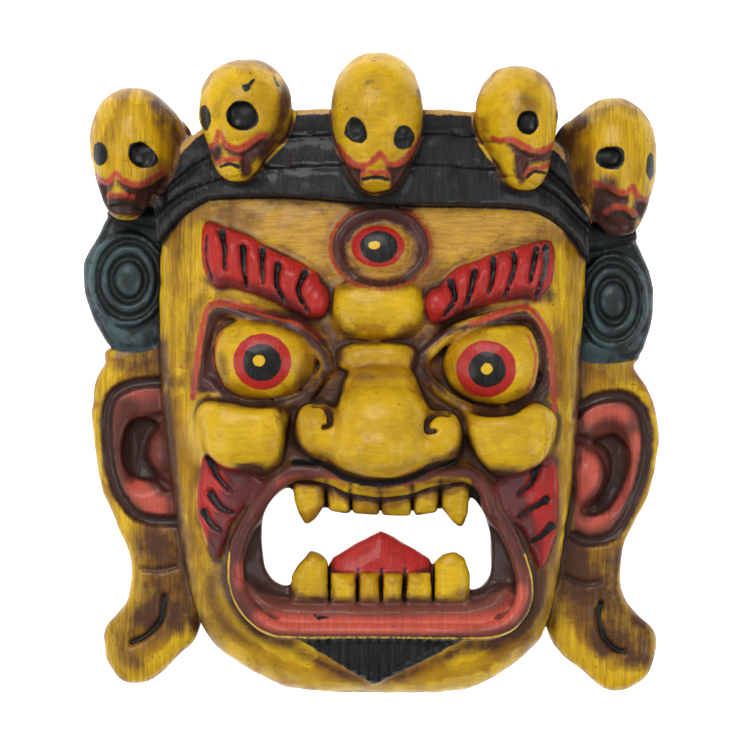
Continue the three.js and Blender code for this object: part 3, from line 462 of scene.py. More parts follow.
# Bright rubbed ochre on high points, partly painted highlight
rubbedAndHighlightStrokes = [
    ([(-90, -14), (-88, -26), (-85, -40)], 8, 5, 1.0),
    ([(91, -18), (93, -36)], 7, 5, 1.0),
    ([(-96, 30), (-97, 0), (-96, -40), (-90, -84)], 1.5, 3.5, 0.35),
    ([(97, 40), (98, -10), (97, -70)], 2, 3, 0.35),
    ([(-104, 120), (-102, 108)], 4, 5, 0.4),
    ([(106, 116), (104, 106)], 4, 5, 0.4),
    ([(-76, -24), (-62, -30), (-52, -38)], 12, 7, 0.75),
    ([(58, -32), (70, -36), (82, -34)], 12, 7, 0.75),
    ([(2, -26), (8, -40)], 22, 8, 0.7),
    ([(-10, 32), (18, 32)], 14, 6, 1.0),
    ([(-10, 8), (16, 8)], 5, 4, 0.6),
    ([(-70, 40), (-56, 36), (-42, 30)], 1.5, 2.5, 0.7),
    ([(60, 34), (76, 34)], 1.5, 2.5, 0.6),
    ([(-64, -138), (-40, -152), (0, -158), (40, -156)], 3, 4, 0.6),
    ([(-140, -20), (-137, -56), (-126, -82), (-121, -100), (-124, -118)], 1.2, 2.5, 0.8),
    ([(-132, -136), (-128, -150), (-116, -154)], 3, 4, 0.7),
    ([(144, -28), (140, -60), (130, -84), (126, -104)], 1, 2.2, 0.7),
    ([(106, -140), (116, -154), (128, -158)], 5, 5, 0.7),
    ([(-74, 14), (-66, 20)], 6, 5, 0.6),
    ([(72, 12), (78, 2)], 5, 5, 0.6),
    ([(-12, 150), (4, 150), (14, 144)], 14, 8, 0.6),
    ([(-128, 128), (-124, 120)], 6, 5, 0.5),
    ([(-62, 138), (-74, 140)], 8, 6, 0.5),
    ([(84, 140), (86, 130)], 5, 5, 0.5),
    ([(66, 104), (64, 112)], 5, 3, 0.6),
    ([(130, 120), (132, 108)], 6, 5, 0.5),
]
pinkStrokes = [
    ([(-56, -124), (-20, -126), (30, -126), (66, -122), (74, -110)], 6, 3.5, 1.0),
    ([(-122, -12), (-112, -12), (-104, -14)], 4, 4, 0.6),
    ([(-118, -58), (-110, -66), (-101, -68)], 8, 4, 0.9),
    ([(106, -24), (116, -20), (126, -22)], 6, 4, 1.0),
    ([(134, -34), (131, -52), (122, -68), (112, -76), (104, -72)], 4, 3.5, 0.95),
    ([(108, -44), (109, -64)], 13, 3.5, 1.0),
    ([(-60, -72), (-56, -64), (-46, -56), (-36, -53)], 2, 3, 0.6),
    ([(-22, -53.5), (0, -57), (22, -55)], 1, 2.5, 0.6),
    ([(-66, -96), (-66, -106)], 3, 3, 0.5),
]


# Geometry helpers, all on plain arrays

def smoothLine(points, count=0, closed=False):
    pts = np.array(points, float)
    ring = np.vstack([pts[-1:], pts, pts[:2]]) if closed else np.vstack([pts[:1], pts, pts[-1:]])
    out = []
    spans = len(pts) if closed else len(pts) - 1
    per = max(2, int((count or spans * 4) / spans))
    for i in range(spans):
        a, b, c, d = ring[i], ring[i + 1], ring[i + 2], ring[i + 3]
        for t in np.arange(per) / per:
            out.append(0.5 * (2 * b + (c - a) * t + (2 * a - 5 * b + 4 * c - d) * t ** 2
                              + (3 * b - a - 3 * c + d) * t ** 3))
    if not closed:
        out.append(pts[-1])
    return np.array(out)


def lineDistance(x, y, line):
    best = np.full(np.broadcast(x, y).shape, 1e9, np.float32)
    for a, b in zip(line[:-1], line[1:]):
        ex, ey = b[0] - a[0], b[1] - a[1]
        t = np.clip(((x - a[0]) * ex + (y - a[1]) * ey) / (ex * ex + ey * ey + 1e-9), 0, 1)
        np.minimum(best, (x - a[0] - t * ex) ** 2 + (y - a[1] - t * ey) ** 2, out=best)
    return np.sqrt(best)


def outlineDistance(x, y, outline):
    ring = np.vstack([outline, outline[:1]])
    inside = np.zeros(np.broadcast(x, y).shape, bool)
    for a, b in zip(ring[:-1], ring[1:]):
        cross = (a[1] > y) != (b[1] > y)
        with np.errstate(divide="ignore", invalid="ignore"):
            inside ^= cross & (x < (b[0] - a[0]) * (y - a[1]) / (b[1] - a[1]) + a[0])
    far = lineDistance(x, y, ring)
    return np.where(inside, -far, far)


def smoothMin(a, b, k):
    if k <= 0:
        return np.minimum(a, b)
    h = np.clip(0.5 + 0.5 * (b - a) / k, 0, 1)
    return b + (a - b) * h - k * h * (1 - h)


def smoothMax(a, b, k):
    return -smoothMin(-a, -b, k)


def smoothStep(low, high, v):
    t = np.clip((v - low) / (high - low), 0, 1)
    return t * t * (3 - 2 * t)


# The head's outline seen from its middle, which shapes the rounding of the face
headLine = smoothLine(headOutline, 232, True)
headTurns = np.arctan2(headLine[:, 1] - headMiddle[1], headLine[:, 0] - headMiddle[0])
headOrder = np.argsort(headTurns)
headReach = np.hypot(headLine[:, 0] - headMiddle[0], headLine[:, 1] - headMiddle[1])[headOrder]
headTurns = headTurns[headOrder]


def faceHeight(x, y):
    dx, dy = x - headMiddle[0], y - headMiddle[1]
    reach = np.interp(np.arctan2(dy, dx), headTurns, headReach, period=2 * math.pi)
    out = np.minimum(1, np.hypot(dx, dy) / reach)
    swell = np.sqrt(1 - out ** sculpt["headFullness"])
    across = x / crown["halfWidth"]
    return sculpt["headEdge"] + (sculpt["headRise"] + sculpt["headCrown"] * (1 - across ** 2)) * swell


def bandHeight(x):
    across = (x - headMiddle[0]) / crown["halfWidth"]
    return crown["height"] - crown["drop"] * across ** 2


class Block:
    # A block of wood on a grid: below zero is wood, above zero is air.

    def __init__(self, low, high, step):
        self.low = np.array(low, float)
        self.step = step
        shape = np.ceil((np.array(high) - low) / step).astype(int) + 1
        self.wood = np.full(shape, 9.0, np.float32)
        self.axes = [(low[i] + np.arange(shape[i]) * step).astype(np.float32) for i in range(3)]

    def part(self, low, high, margin):
        cut = []
        for i in range(3):
            a = int((low[i] - margin - self.low[i]) / self.step)
            b = int((high[i] + margin - self.low[i]) / self.step) + 2
            cut.append(slice(max(a, 0), max(min(b, len(self.axes[i])), 0)))
        x, y, z = (self.axes[i][cut[i]] for i in range(3))
        return tuple(cut), x[:, None, None], y[None, :, None], z[None, None, :]

    def add(self, shape, low, high, soft=0.0):
        cut, x, y, z = self.part(low, high, soft + 3)
        self.wood[cut] = smoothMin(self.wood[cut], shape(x, y, z), soft)

    def cut(self, shape, low, high, soft=0.0):
        cut, x, y, z = self.part(low, high, soft + 3)
        self.wood[cut] = smoothMax(self.wood[cut], -shape(x, y, z), soft)


def squareBall(at, radii, square=2.0, yaw=0.0):
    turn = math.radians(yaw)
    c, s = math.cos(turn), math.sin(turn)
    rx, ry, rz = radii

    def shape(x, y, z):
        dx, dy, dz = x - at[0], y - at[1], z - at[2]
        ux = np.abs((c * dx - s * dz) / rx) + 1e-6
        uy = np.abs(dy / ry) + 1e-6
        uz = np.abs((s * dx + c * dz) / rz) + 1e-6
        total = (ux ** square + uy ** square + uz ** square) ** (1 / square)
        slope = np.sqrt((ux ** (square - 1) / rx) ** 2 + (uy ** (square - 1) / ry) ** 2
                        + (uz ** (square - 1) / rz) ** 2) / total ** (square - 1)
        return (total - 1) / slope
    reach = (math.hypot(rx * c, rz * s) + 1, ry, math.hypot(rz * c, rx * s) + 1)
    low = [a - r for a, r in zip(at, reach)]
    high = [a + r for a, r in zip(at, reach)]
    return shape, low, high


def plate(outline, bottom, top, rounding=1.0, dome=None):
    line = np.array(outline, float)

    def shape(x, y, z):
        flat = outlineDistance(x[:, :, 0], y[:, :, 0], line)[:, :, None]
        high = top(x, y) if callable(top) else top
        low = bottom(x, y) if callable(bottom) else bottom
        if dome:
            high = high - dome[0] * smoothStep(dome[1], 0, -flat)
        side = np.maximum(z - high, low - z)
        a, b = flat + rounding, side + rounding
        return np.minimum(np.maximum(a, b), 0) + np.hypot(np.maximum(a, 0), np.maximum(b, 0)) - rounding
    tall = 110 if callable(top) else top
    base = 0 if callable(bottom) else bottom
    low = [line[:, 0].min(), line[:, 1].min(), base]
    high = [line[:, 0].max(), line[:, 1].max(), tall]
    return shape, low, high


def bar(line, heights, radius, flatten=1.0):
    # A round bar along a line, at one height or at the height of a surface.
    pts = np.array(line, float)
    zs = heights(pts[:, 0], pts[:, 1]) if callable(heights) else np.full(len(pts), float(heights))
    radii = np.full(len(pts), radius, float) if np.isscalar(radius) else np.array(radius, float)

    def shape(x, y, z):
        best = np.full(np.broadcast(x, y, z).shape, 1e3, np.float32)
        for i in range(len(pts) - 1):
            a, b = pts[i], pts[i + 1]
            ex, ey, ez = b[0] - a[0], b[1] - a[1], zs[i + 1] - zs[i]
            t = np.clip(((x - a[0]) * ex + (y - a[1]) * ey + (z - zs[i]) * ez)
                        / (ex * ex + ey * ey + ez * ez + 1e-9), 0, 1)
            far = np.sqrt((x - a[0] - t * ex) ** 2 + (y - a[1] - t * ey) ** 2
                          + ((z - zs[i] - t * ez) * flatten) ** 2)
            np.minimum(best, far - (radii[i] + (radii[i + 1] - radii[i]) * t), out=best)
        return best
    r = radii.max()
    low = [pts[:, 0].min() - r, pts[:, 1].min() - r, zs.min() - r]
    high = [pts[:, 0].max() + r, pts[:, 1].max() + r, zs.max() + r]
    return shape, low, high


def trimmedBall(outline, top, at, radii, square, blend):
    # A ball cut to an outline that is drawn from the front.
    ballShape, low, high = squareBall(at, radii, square)
    lens = plate(smoothLine(outline, 56, True), 30, top, 3.5)[0]
    return lambda x, y, z: smoothMax(ballShape(x, y, z), lens(x, y, z), blend), low, high


def raised(height):
    return lambda x, y: faceHeight(x, y) + height


def carveHead(block):
    top = faceHeight
    headPlate, low, high = plate(headLine, 0, top, 1.5)
    block.add(headPlate, low, high)
    for eye in eyes:
        floor = float(faceHeight(*eye["at"]))
        block.cut(*squareBall((*eye["at"], floor + 8), sculpt["eyeWell"], 3.2), soft=5)
    for i, bandLine in enumerate(bandLines[:-1]):
        upper = smoothLine(bandLines[i + 1], 48)
        outline = np.vstack([smoothLine(bandLine, 48), upper[::-1]])
        rise = (len(bandLines) - 2 - i) * sculpt["tierStep"]
        block.add(*plate(outline, 0, lambda x, y, r=rise: bandHeight(x) + r, 1.6))
    for end in crownEnds:
        block.add(*plate(smoothLine(end, 48, True), 0, crown["endHeight"], 4), soft=2)


def carveEyes(block):
    for eye in eyes:
        floor = float(faceHeight(*eye["at"]))
        ball = trimmedBall(eye["almond"], 90, (*eye["at"], floor - 5), sculpt["eyeBall"], 2.1, 3)
        block.add(*ball, 0.6)
        block.add(*bar(smoothLine(eye["upper"], 40), raised(-0.2), 3.3), soft=2.2)
        block.add(*bar(smoothLine(eye["lower"], 32), raised(-0.8), 3.0), soft=2.2)
    x, y, rx, ry = thirdEye["rim"]
    floor = float(faceHeight(x, y))
    turns = np.linspace(0, 2 * math.pi, 41)
    rim = np.stack([x + (rx - 3) * np.cos(turns), y + (ry - 3) * np.sin(turns)], 1)
    block.add(*bar(rim, raised(-0.4), 3.2), soft=2.0)
    x, y, rx, ry = thirdEye["yellow"]
    block.add(*squareBall((x, y, floor - 6), (rx, ry, 12), 2.2), soft=0.8)


def carveFace(block):
    for at, radii, square, soft in noseForms:
        block.add(*squareBall(at, radii, square), soft=soft)
    block.add(*bar(nostrilLine, 66, 6.4), soft=4)
    for outline, at in zip(cheeks, cheekBalls):
        block.add(*trimmedBall(outline, 95, at, sculpt["cheekBall"], 2.7, 4), soft=5.0)
    for at, radii, soft in faceFillers:
        block.add(*squareBall(at, radii), soft=soft)
    for brow in brows:
        outline = smoothLine(brow["outline"], 80, True)
        block.add(*plate(outline, raised(-4), raised(sculpt["browRise"]), 3.4, (3.0, 8)), soft=0.8)
        x, y, rx, ry = brow["knob"]
        block.add(*squareBall((x, y, float(faceHeight(x, y)) + 1.5), (rx, ry, 8), 2.2), soft=1.0)
    for flame in flames:
        outline = smoothLine(flame["outline"], 56, True)
        block.add(*plate(outline, raised(-3), raised(3), 2), soft=1.2)


def carveMouth(block):
    upper, lower = smoothLine(upperLip, 48), smoothLine(lowerLip, 60)
    inside = np.vstack([upper, lower[::-1][1:-1]])
    floor = sculpt["mouthFloor"]

    def slope(x, y):
        inward = outlineDistance(x[:, :, 0], y[:, :, 0], inside)
        return (floor + 12 * np.exp(np.minimum(inward, 0) / 7))[:, :, None]
    block.cut(*plate(inside, slope, 110, 1.5), soft=3)
    ridge = sculpt["lipHeight"]
    block.add(*plate(smoothLine(lipBody, 56, True), floor - 6, ridge, 4, (2.5, 9)), soft=2)
    block.add(*bar(upper, lambda x, y: ridge - 0.12 * np.maximum(np.abs(x - 3) - 20, 0), 4.4), soft=2)
    block.add(*bar(lower, ridge - 5.5, 4.2), soft=2.5)
    block.add(*plate(smoothLine(lowerBand, 60, True), 40, ridge - 3.5, 4, (4, 9)), soft=4)
    cutHollow(block)
    block.cut(*plate(smoothLine(mouthHole, 0, True), -5, 110, 0.5), soft=1.2)
    back = sculpt["toothFront"] - sculpt["toothDepth"]
    for tooth in upperTeeth + lowerTeeth:
        block.add(*plate(tooth, back, sculpt["toothFront"], 2.2, (2.0, 5)), soft=0.3)
    block.add(*plate(tongue, back - 4, sculpt["tongueFront"], 3, (4, 12)), soft=0.4)
    block.add(*plate(beard, raised(-2), raised(1.6), 1), soft=0.3)


def cutHollow(block):
    def shape(x, y, z):
        dx, dy = x - headMiddle[0], y - headMiddle[1]
        reach = np.interp(np.arctan2(dy, dx), headTurns, headReach, period=2 * math.pi)
        reach = reach - sculpt["backRim"]
        out = np.hypot(dx, dy) / reach
        slope = np.interp(out, (0, 0.7, 0.93, 1), (1, 1, 0.88, 0.55))
        roof = slope * (faceHeight(x, y) - sculpt["faceWall"])
        return np.maximum((z - roof) * 0.8, (out - 1) * reach)
    block.cut(shape, [-112, -152, -9], [112, 122, 60], soft=2)


def placedOn(skull, x, y, z):
    # A point of the skull's own, turned with the skull.
    turn = math.radians(skull["yaw"])
    c, s = math.cos(turn), math.sin(turn)
    ax, ay, az = skull["at"]
    return (ax + c * x + s * z, ay + y, az - s * x + c * z)


def brainAndJaw(skull):
    yaw = skull["yaw"]
    return (squareBall(skull["at"], skull["brain"], 2.2, yaw),
            squareBall(placedOn(skull, *skull["jaw"]), skull["chin"], 2.3, yaw))


def shoulderOf(skull):
    return squareBall(skull["shoulder"][:3], skull["shoulder"][3:])


def carveSkulls(block):
    for skull in skulls:
        wide, tall, deep = skull["brain"]
        brain, jaw = brainAndJaw(skull)
        block.add(*brain, soft=0.8)
        block.add(*jaw, soft=sculpt["jawBlend"])
        turns = np.linspace(0, 2 * math.pi, 33)[:-1]
        ring = np.stack([skull["at"][0] + 0.9 * wide * np.cos(turns),
                         skull["at"][1] + 0.9 * tall * np.sin(turns)], 1)
        block.add(*plate(ring, 0, skull["at"][2], 2), soft=1.5)
        nose = placedOn(skull, 0, -tall * 0.6, deep * 0.66)
        radii = (wide * 0.14, tall * 0.26, deep * 0.13)
        block.add(*squareBall(nose, radii, 2, skull["yaw"]), soft=4)
        if "shoulder" in skull:
            block.add(*shoulderOf(skull), soft=sculpt["shoulderBlend"])
    for skull in skulls:
        for socket in skull["sockets"]:
            line = np.array(socket)
            (x, y), (rx, ry) = line.mean(0), (line.max(0) - line.min(0)) / 2
            front = skull["at"][2] + skull["brain"][2] * 0.9
            radii = (rx * 0.9, ry * 0.9, sculpt["socketDepth"])
            block.cut(*squareBall((x, y, front), radii, 2.6, skull["yaw"] * 0.6), soft=2)


def carveSides(block):
    for disc in discs:
        outline = smoothLine(disc["outline"], 60, True)
        block.add(*plate(outline, 0, sculpt["earThickness"] + 1, 5), soft=0.8)
        (cx, cy), (rx, ry) = disc["centre"], disc["radii"]

        def rings(x, y, z):
            out = np.hypot((x - cx) / rx, (y - cy) / ry)
            radii, heights = zip(*discProfile)
            top = sculpt["earThickness"] + np.interp(out, radii, heights)
            return np.maximum(np.maximum((z - top) * 0.7, (out - 1.06) * rx), 10 - z)
        block.add(rings, [cx - rx * 1.1, cy - ry * 1.1, 8], [cx + rx * 1.1, cy + ry * 1.1, 36], 1)
    for ear in ears:
        outline = smoothLine(ear["outline"], 110, True)
        top = sculpt["earThickness"]
        block.add(*plate(outline, 0, top, 6.5), soft=0.8)
        x, y, rx, ry = ear["bowl"]
        block.cut(*squareBall((x, y, top + 4), (rx, ry, 12), 2.3), soft=4)
        block.cut(*bar(smoothLine(ear["groove"], 48), top + 0.3, 3.0), soft=1.5)
        x, y, rx, ry = ear["tragus"]
        block.add(*squareBall((x, y, top - 4), (rx, ry, 8.5), 2.2), soft=2)
        block.cut(*bar(smoothLine(ear["hook"], 30), top - 0.5, 2.6), soft=1.2)


def untangle(block):
    # Fills corners that touch only across a diagonal, so that no edge carries four faces.
    for _ in range(sculpt["untangleRounds"]):
        filled = 0
        for u, v in ((0, 1), (0, 2), (1, 2)):
            grid = np.moveaxis(block.wood, (u, v), (0, 1))
            a, b, c, d = grid[:-1, :-1], grid[1:, :-1], grid[:-1, 1:], grid[1:, 1:]
            for near, far, one, other in ((a, d, b, c), (b, c, a, d)):
                tangled = (near < 0) & (far < 0) & (one >= 0) & (other >= 0)
                first = tangled & (one <= other)
                one[first] = -0.05
                other[tangled & ~first] = -0.05
                filled += tangled.sum()
        if not filled:
            break


def surfaceOf(block):
    # The skin of the block as vertices and quads, one vertex to each cell that the skin crosses.
    wood = block.wood
    wood[0], wood[-1], wood[:, 0], wood[:, -1], wood[:, :, 0], wood[:, :, -1] = (9,) * 6
    inside = wood < 0
    count = np.zeros([n - 1 for n in wood.shape], np.int8)
    corners = [(i, j, k) for i in (0, 1) for j in (0, 1) for k in (0, 1)]
    nx, ny, nz = count.shape
    for i, j, k in corners:
        count += inside[i:nx + i, j:ny + j, k:nz + k]
    cells = np.argwhere((count > 0) & (count < 8))
    index = np.full(count.shape, -1, np.int32)
    index[tuple(cells.T)] = np.arange(len(cells))
    values = [wood[cells[:, 0] + i, cells[:, 1] + j, cells[:, 2] + k] for i, j, k in corners]
    total = np.zeros((len(cells), 3))
    hits = np.zeros(len(cells))
    for a in range(8):
        for b in range(a + 1, 8):
            ca, cb = np.array(corners[a]), np.array(corners[b])
            if np.abs(ca - cb).sum() != 1:
                continue
            va, vb = values[a], values[b]
            cross = (va < 0) != (vb < 0)
            t = np.where(cross, va / np.where(cross, va - vb, 1), 0)
            total += np.where(cross[:, None], ca + (cb - ca) * t[:, None], 0)
            hits += cross
    verts = block.low + (cells + total / hits[:, None]) * block.step
    quads = []
    for axis in range(3):
        u, v = (axis + 1) % 3, (axis + 2) % 3
        a = np.take(inside, range(0, inside.shape[axis] - 1), axis)
        b = np.take(inside, range(1, inside.shape[axis]), axis)
        edges = np.argwhere(a != b)
        edges = edges[(edges[:, u] > 0) & (edges[:, v] > 0)]
        flip = ~a[tuple(edges.T)]
        around = []
        for du, dv in ((0, 0), (-1, 0), (-1, -1), (0, -1)):
            cell = edges.copy()
            cell[:, u] += du
            cell[:, v] += dv
            around.append(index[tuple(cell.T)])
        quad = np.stack(around, 1)
        quad[flip] = quad[flip][:, ::-1]
        quads.append(quad)
    return verts, np.vstack(quads)


def vertexNormals(verts, faces):
    a, b, c = verts[faces[:, 0]], verts[faces[:, 1]], verts[faces[:, 2]]
    if faces.shape[1] == 4:
        normal = np.cross(c - a, verts[faces[:, 3]] - b)
    else:
        normal = np.cross(b - a, c - a)
    total = np.zeros_like(verts)
    for k in range(faces.shape[1]):
        for i in range(3):
            total[:, i] += np.bincount(faces[:, k], normal[:, i], len(verts))
    return total / np.maximum(np.linalg.norm(total, axis=1), 1e-9)[:, None]


def smoothed(verts, faces, rounds, amount=0.5):
    edges = np.vstack([faces[:, [k, (k + 1) % faces.shape[1]]] for k in range(faces.shape[1])])
    degree = np.maximum(np.bincount(edges[:, 0], minlength=len(verts))
                        + np.bincount(edges[:, 1], minlength=len(verts)), 1)
    out = verts.copy()
    for _ in range(rounds):
        for i in range(out.shape[1]):
            near = (np.bincount(edges[:, 0], out[edges[:, 1], i], len(out))
                    + np.bincount(edges[:, 1], out[edges[:, 0], i], len(out)))
            out[:, i] += amount * (near / degree - out[:, i])
    return out


# What is drawn on the skin: signed distances in millimetres, above zero inside the drawing

def strokeMask(x, y, line, width, count=24, taper=0.0):
    line = smoothLine(line, count)
    out = np.full(len(x), -9.0)
    near = ((x > line[:, 0].min() - 9) & (x < line[:, 0].max() + 9)
            & (y > line[:, 1].min() - 9) & (y < line[:, 1].max() + 9))
    if not taper:
        out[near] = width / 2 - lineDistance(x[near], y[near], line)
        return np.maximum(out, -9)
    steps = len(line) - 1
    for i in range(steps):
        wide = width * (1 - taper * (i + 0.5) / steps)
        out[near] = np.maximum(out[near], wide / 2 - lineDistance(x[near], y[near], line[i:i + 2]))
    return np.maximum(out, -9)


def areaMask(x, y, outline, grow=0.0, smooth=True):
    line = smoothLine(outline, 0, True) if smooth else np.array(outline, float)
    out = np.full(len(x), -9.0)
    near = ((x > line[:, 0].min() - 9) & (x < line[:, 0].max() + 9)
            & (y > line[:, 1].min() - 9) & (y < line[:, 1].max() + 9))
    out[near] = grow - outlineDistance(x[near], y[near], line)
    return np.maximum(out, -9)


def ovalMask(x, y, oval, grow=0.0):
    cx, cy, rx, ry = oval
    out = np.hypot((x - cx) / rx, (y - cy) / ry)
    return np.clip((1 - out) * min(rx, ry) + grow, -9, 9)


def reliefOf(x, y):
    # How far the skin sinks into the gouge cuts, in millimetres.
    sink = np.zeros(len(x))

    def gouge(line, width, depth, count=24, taper=0.0, within=None):
        reach = strokeMask(x, y, line, width, count, taper)
        if within:
            reach = np.minimum(reach, areaMask(x, y, within, -0.8))
        inside = np.clip(reach / (width / 2), 0, 1)
        np.maximum(sink, depth * (1 - (1 - inside) ** 2) ** 0.9, out=sink)

    def sunk(outline, depth, edge):
        np.maximum(sink, depth * smoothStep(-0.3, edge, areaMask(x, y, outline)), out=sink)
    for brow in brows:
        for cutLine in brow["cuts"]:
            gouge(cutLine, 6.0, 4.2, 24, 0.55, brow["outline"])
        if brow["edge"]:
            gouge(brow["edge"], 2.4, 1.2)
    for flame in flames:
        for cutLine in flame["cuts"]:
            gouge(cutLine, 6.5, 3.0, 24, 0.6, flame["outline"])
    top = beardGrooves["top"]
    for i in range(beardGrooves["count"]):
        along = beardGrooves["from"] + i * beardGrooves["step"]
        off = abs(along - beardGrooves["middle"]) / beardGrooves["halfWidth"]
        foot = top - beardGrooves["drop"] * max(0.0, 1 - off)
        gouge([(along, top), (along * 0.985, foot)], 2.6, 1.6, 4)
    for ear in ears:
        gouge(ear["crescent"], 4.6, 3.0)
        gouge(ear["crease"], 3.8, 1.8)
        sunk(ear["concha"], 3.2, 3.5)
    for hook in noseHooks:
        gouge(hook, 3.4, 3.0)
    for skull in skulls:
        for hollow in skull["hollows"]:
            sunk(hollow, 2.2, 2.6)
        gouge(skull["slot"], 2.6, 1.3, 8)
    for line in bandLines[1:3]:
        gouge([(x, y - 2.2) for x, y in line], 1.8, 0.7, 48)
        gouge([(x, y + 2.4) for x, y in line], 1.4, 0.4, 48)
    return sink


def softStroke(x, y, line, width, fade):
    stroke = strokeMask(x, y, line, width + 2 * fade) - fade
    return smoothStep(-fade, fade * 0.4, np.maximum(stroke, -fade))


def brushedOn(x, y, strokes):
    # How strongly the strokes cover each point: 0 to 1.
    cover = np.zeros(len(x))
    for line, width, fade, strength in strokes:
        np.maximum(cover, strength * softStroke(x, y, line, width, fade), out=cover)
    return cover


def earStrokes():
    # Brown wash and painted shade lie deepest in the folds of the ears.
    grooves = [(ear["groove"], 4.4, 2.5, 1.0) for ear in ears]
    return grooves + [(ear["hook"], 7.5, 4.0, 1.0) for ear in ears]


def paintLayers(x, y, z):
    # One column of signed distances for each paint, above zero where it lies.
    red, dark, maroon, salmon, teal, orange, gold = (np.full(len(x), -9.0) for _ in range(7))

    def over(layer, mask):
        np.maximum(layer, mask, out=layer)

    def under(layer, mask):
        np.minimum(layer, -mask, out=layer)

    onSkull = np.full(len(x), -9.0)
    for skull in skulls:
        (brainShape, *_), (jawShape, *_) = brainAndJaw(skull)
        far = smoothMin(brainShape(x, y, z), jawShape(x, y, z), sculpt["jawBlend"])
        if "shoulder" in skull:
            far = smoothMin(far, shoulderOf(skull)[0](x, y, z), sculpt["shoulderBlend"])
        behind = np.clip((skull["at"][2] * 0.6 - z) * 0.4, 0, 9)
        over(onSkull, np.clip(2.0 - far, -9, 9) - behind)

    # crown band, with the bare wood along its top edge
    band = areaMask(x, y, np.vstack([smoothLine(bandLines[0], 48), smoothLine(bandLines[3], 48)[::-1]
                                     + (0, 2.5)]), 1.4, False)
    for end in crownEnds:
        over(band, np.minimum(np.minimum(areaMask(x, y, end, 1.5), 34 - z), 113 - y))
    band = np.minimum(np.minimum(band, (z - 8) * 0.6), -onSkull)
    over(dark, band)
    bare = np.minimum(np.minimum(strokeMask(x, y, bandLines[3], 4.6, 48), (z - 2) * 0.3), -onSkull)

    onEar = 34.4 - z
    for disc in discs:
        over(teal, np.minimum(np.minimum(areaMask(x, y, disc["outline"], 1.2), -onSkull), onEar))
    under(dark, teal + 0.2)

    for skull in skulls:
        for hollow in skull["hollows"]:
            over(maroon, np.minimum(areaMask(x, y, hollow, 1.1), onSkull))
        for socket in skull["sockets"]:
            over(dark, np.minimum(areaMask(x, y, socket, 0.1), onSkull + 3))
        over(orange, np.minimum(strokeMask(x, y, skull["line"], 3.0), onSkull))
        over(orange, np.minimum(strokeMask(x, y, skull["lips"], 2.6), onSkull))
        over(dark, np.minimum(strokeMask(x, y, skull["slot"], 1.7), onSkull))
    for chip, grow in darkChips:
        over(dark, areaMask(x, y, chip, grow))
    over(dark, strokeMask(x, y, darkScratch, 0.5))
    over(maroon, areaMask(x, y, brownChip, 0.1))

    for brow in brows:
        over(red, areaMask(x, y, brow["outline"], 0.3))
        over(red, ovalMask(x, y, brow["knob"], 0.3))
        for cutLine in brow["cuts"]:
            onBrow = areaMask(x, y, brow["outline"], -0.8)
            over(dark, np.minimum(strokeMask(x, y, cutLine, 3.6, 24, 0.65), onBrow))
        if brow["edge"]:
            over(dark, strokeMask(x, y, brow["edge"], 1.2))

    for eye in eyes:
        almond = areaMask(x, y, eye["almond"])
        over(maroon, np.minimum(areaMask(x, y, eye["lid"]), -almond))
        over(orange, strokeMask(x, y, eye["orange"], 3.2, 40))
        over(orange, strokeMask(x, y, eye["vein"], 1.1))
        iris, pupil = ovalMask(x, y, eye["iris"]), ovalMask(x, y, eye["pupil"])
        iris = np.minimum(iris, almond)
        over(red, iris)
        over(dark, np.minimum(pupil, iris))
        under(dark, ovalMask(x, y, eye["dot"]))
        over(gold, ovalMask(x, y, eye["dot"], 0.2))
    rim, white = ovalMask(x, y, thirdEye["rim"]), ovalMask(x, y, thirdEye["yellow"])
    over(maroon, np.minimum(rim, -white))
    over(red, ovalMask(x, y, thirdEye["iris"]))
    over(dark, ovalMask(x, y, thirdEye["pupil"]))
    under(dark, ovalMask(x, y, thirdEye["dot"]))
    over(gold, ovalMask(x, y, thirdEye["dot"], 0.2))
    rimEdge = np.minimum(ovalMask(x, y, thirdEye["rim"], 0.9), -ovalMask(x, y, thirdEye["rim"], -0.3))
    over(orange, rimEdge)

    # mouth: brownish pink lips, maroon inside, red tongue, dark gaps
    lipLine = np.maximum(strokeMask(x, y, upperLip, 7.4, 60), strokeMask(x, y, lowerLip, 8.0, 60))
    inside = areaMask(x, y, np.vstack([smoothLine(upperLip, 48), smoothLine(lowerLip, 60)[::-1][1:-1]]),
                      1.0, False)
    teeth = np.full(len(x), -9.0)
    for tooth in upperTeeth + lowerTeeth:
        mask = areaMask(x, y, tooth, 0.2, False)
        if tooth in lowerTeeth:
            mask = np.minimum(mask, y + 114.5)
        over(teeth, mask)
    over(salmon, np.maximum(lipLine, inside))
    over(maroon, np.minimum(inside, 57 - z) - np.clip(-110 - y, 0, 9) * 2)
    under(salmon, teeth)
    under(maroon, teeth)
    tongueMask = np.minimum(areaMask(x, y, tongue, 0.5, False), -teeth)
    over(red, tongueMask)
    under(maroon, tongueMask)
    gumLine = np.minimum(np.minimum(inside, -teeth), np.minimum(-50 - y, y + 73))
    over(dark, np.minimum(gumLine, 57 - z))
    over(dark, strokeMask(x, y, underNose, 3.4, 30))
    for left, right in zip(lowerTeeth[:-1], lowerTeeth[1:]):
        gap = (max(p[0] for p in left) + min(p[0] for p in right)) / 2
        over(dark, strokeMask(x, y, [(gap, -98), (gap, -114.5)], 1.5, 4))
    for gap in upperGaps:
        over(maroon, strokeMask(x, y, [(gap, -54), (gap, -70)], 1.5, 4))
    rim = [(3 + (px - 3) * 1.055, -94 + (py + 94) * 1.07) for px, py in lowerLip[2:-2]]
    over(gold, strokeMask(x, y, rim, 0.9, 60))
    over(dark, areaMask(x, y, lipChip, 0.2))
    over(dark, strokeMask(x, y, lipScratch, 0.9))

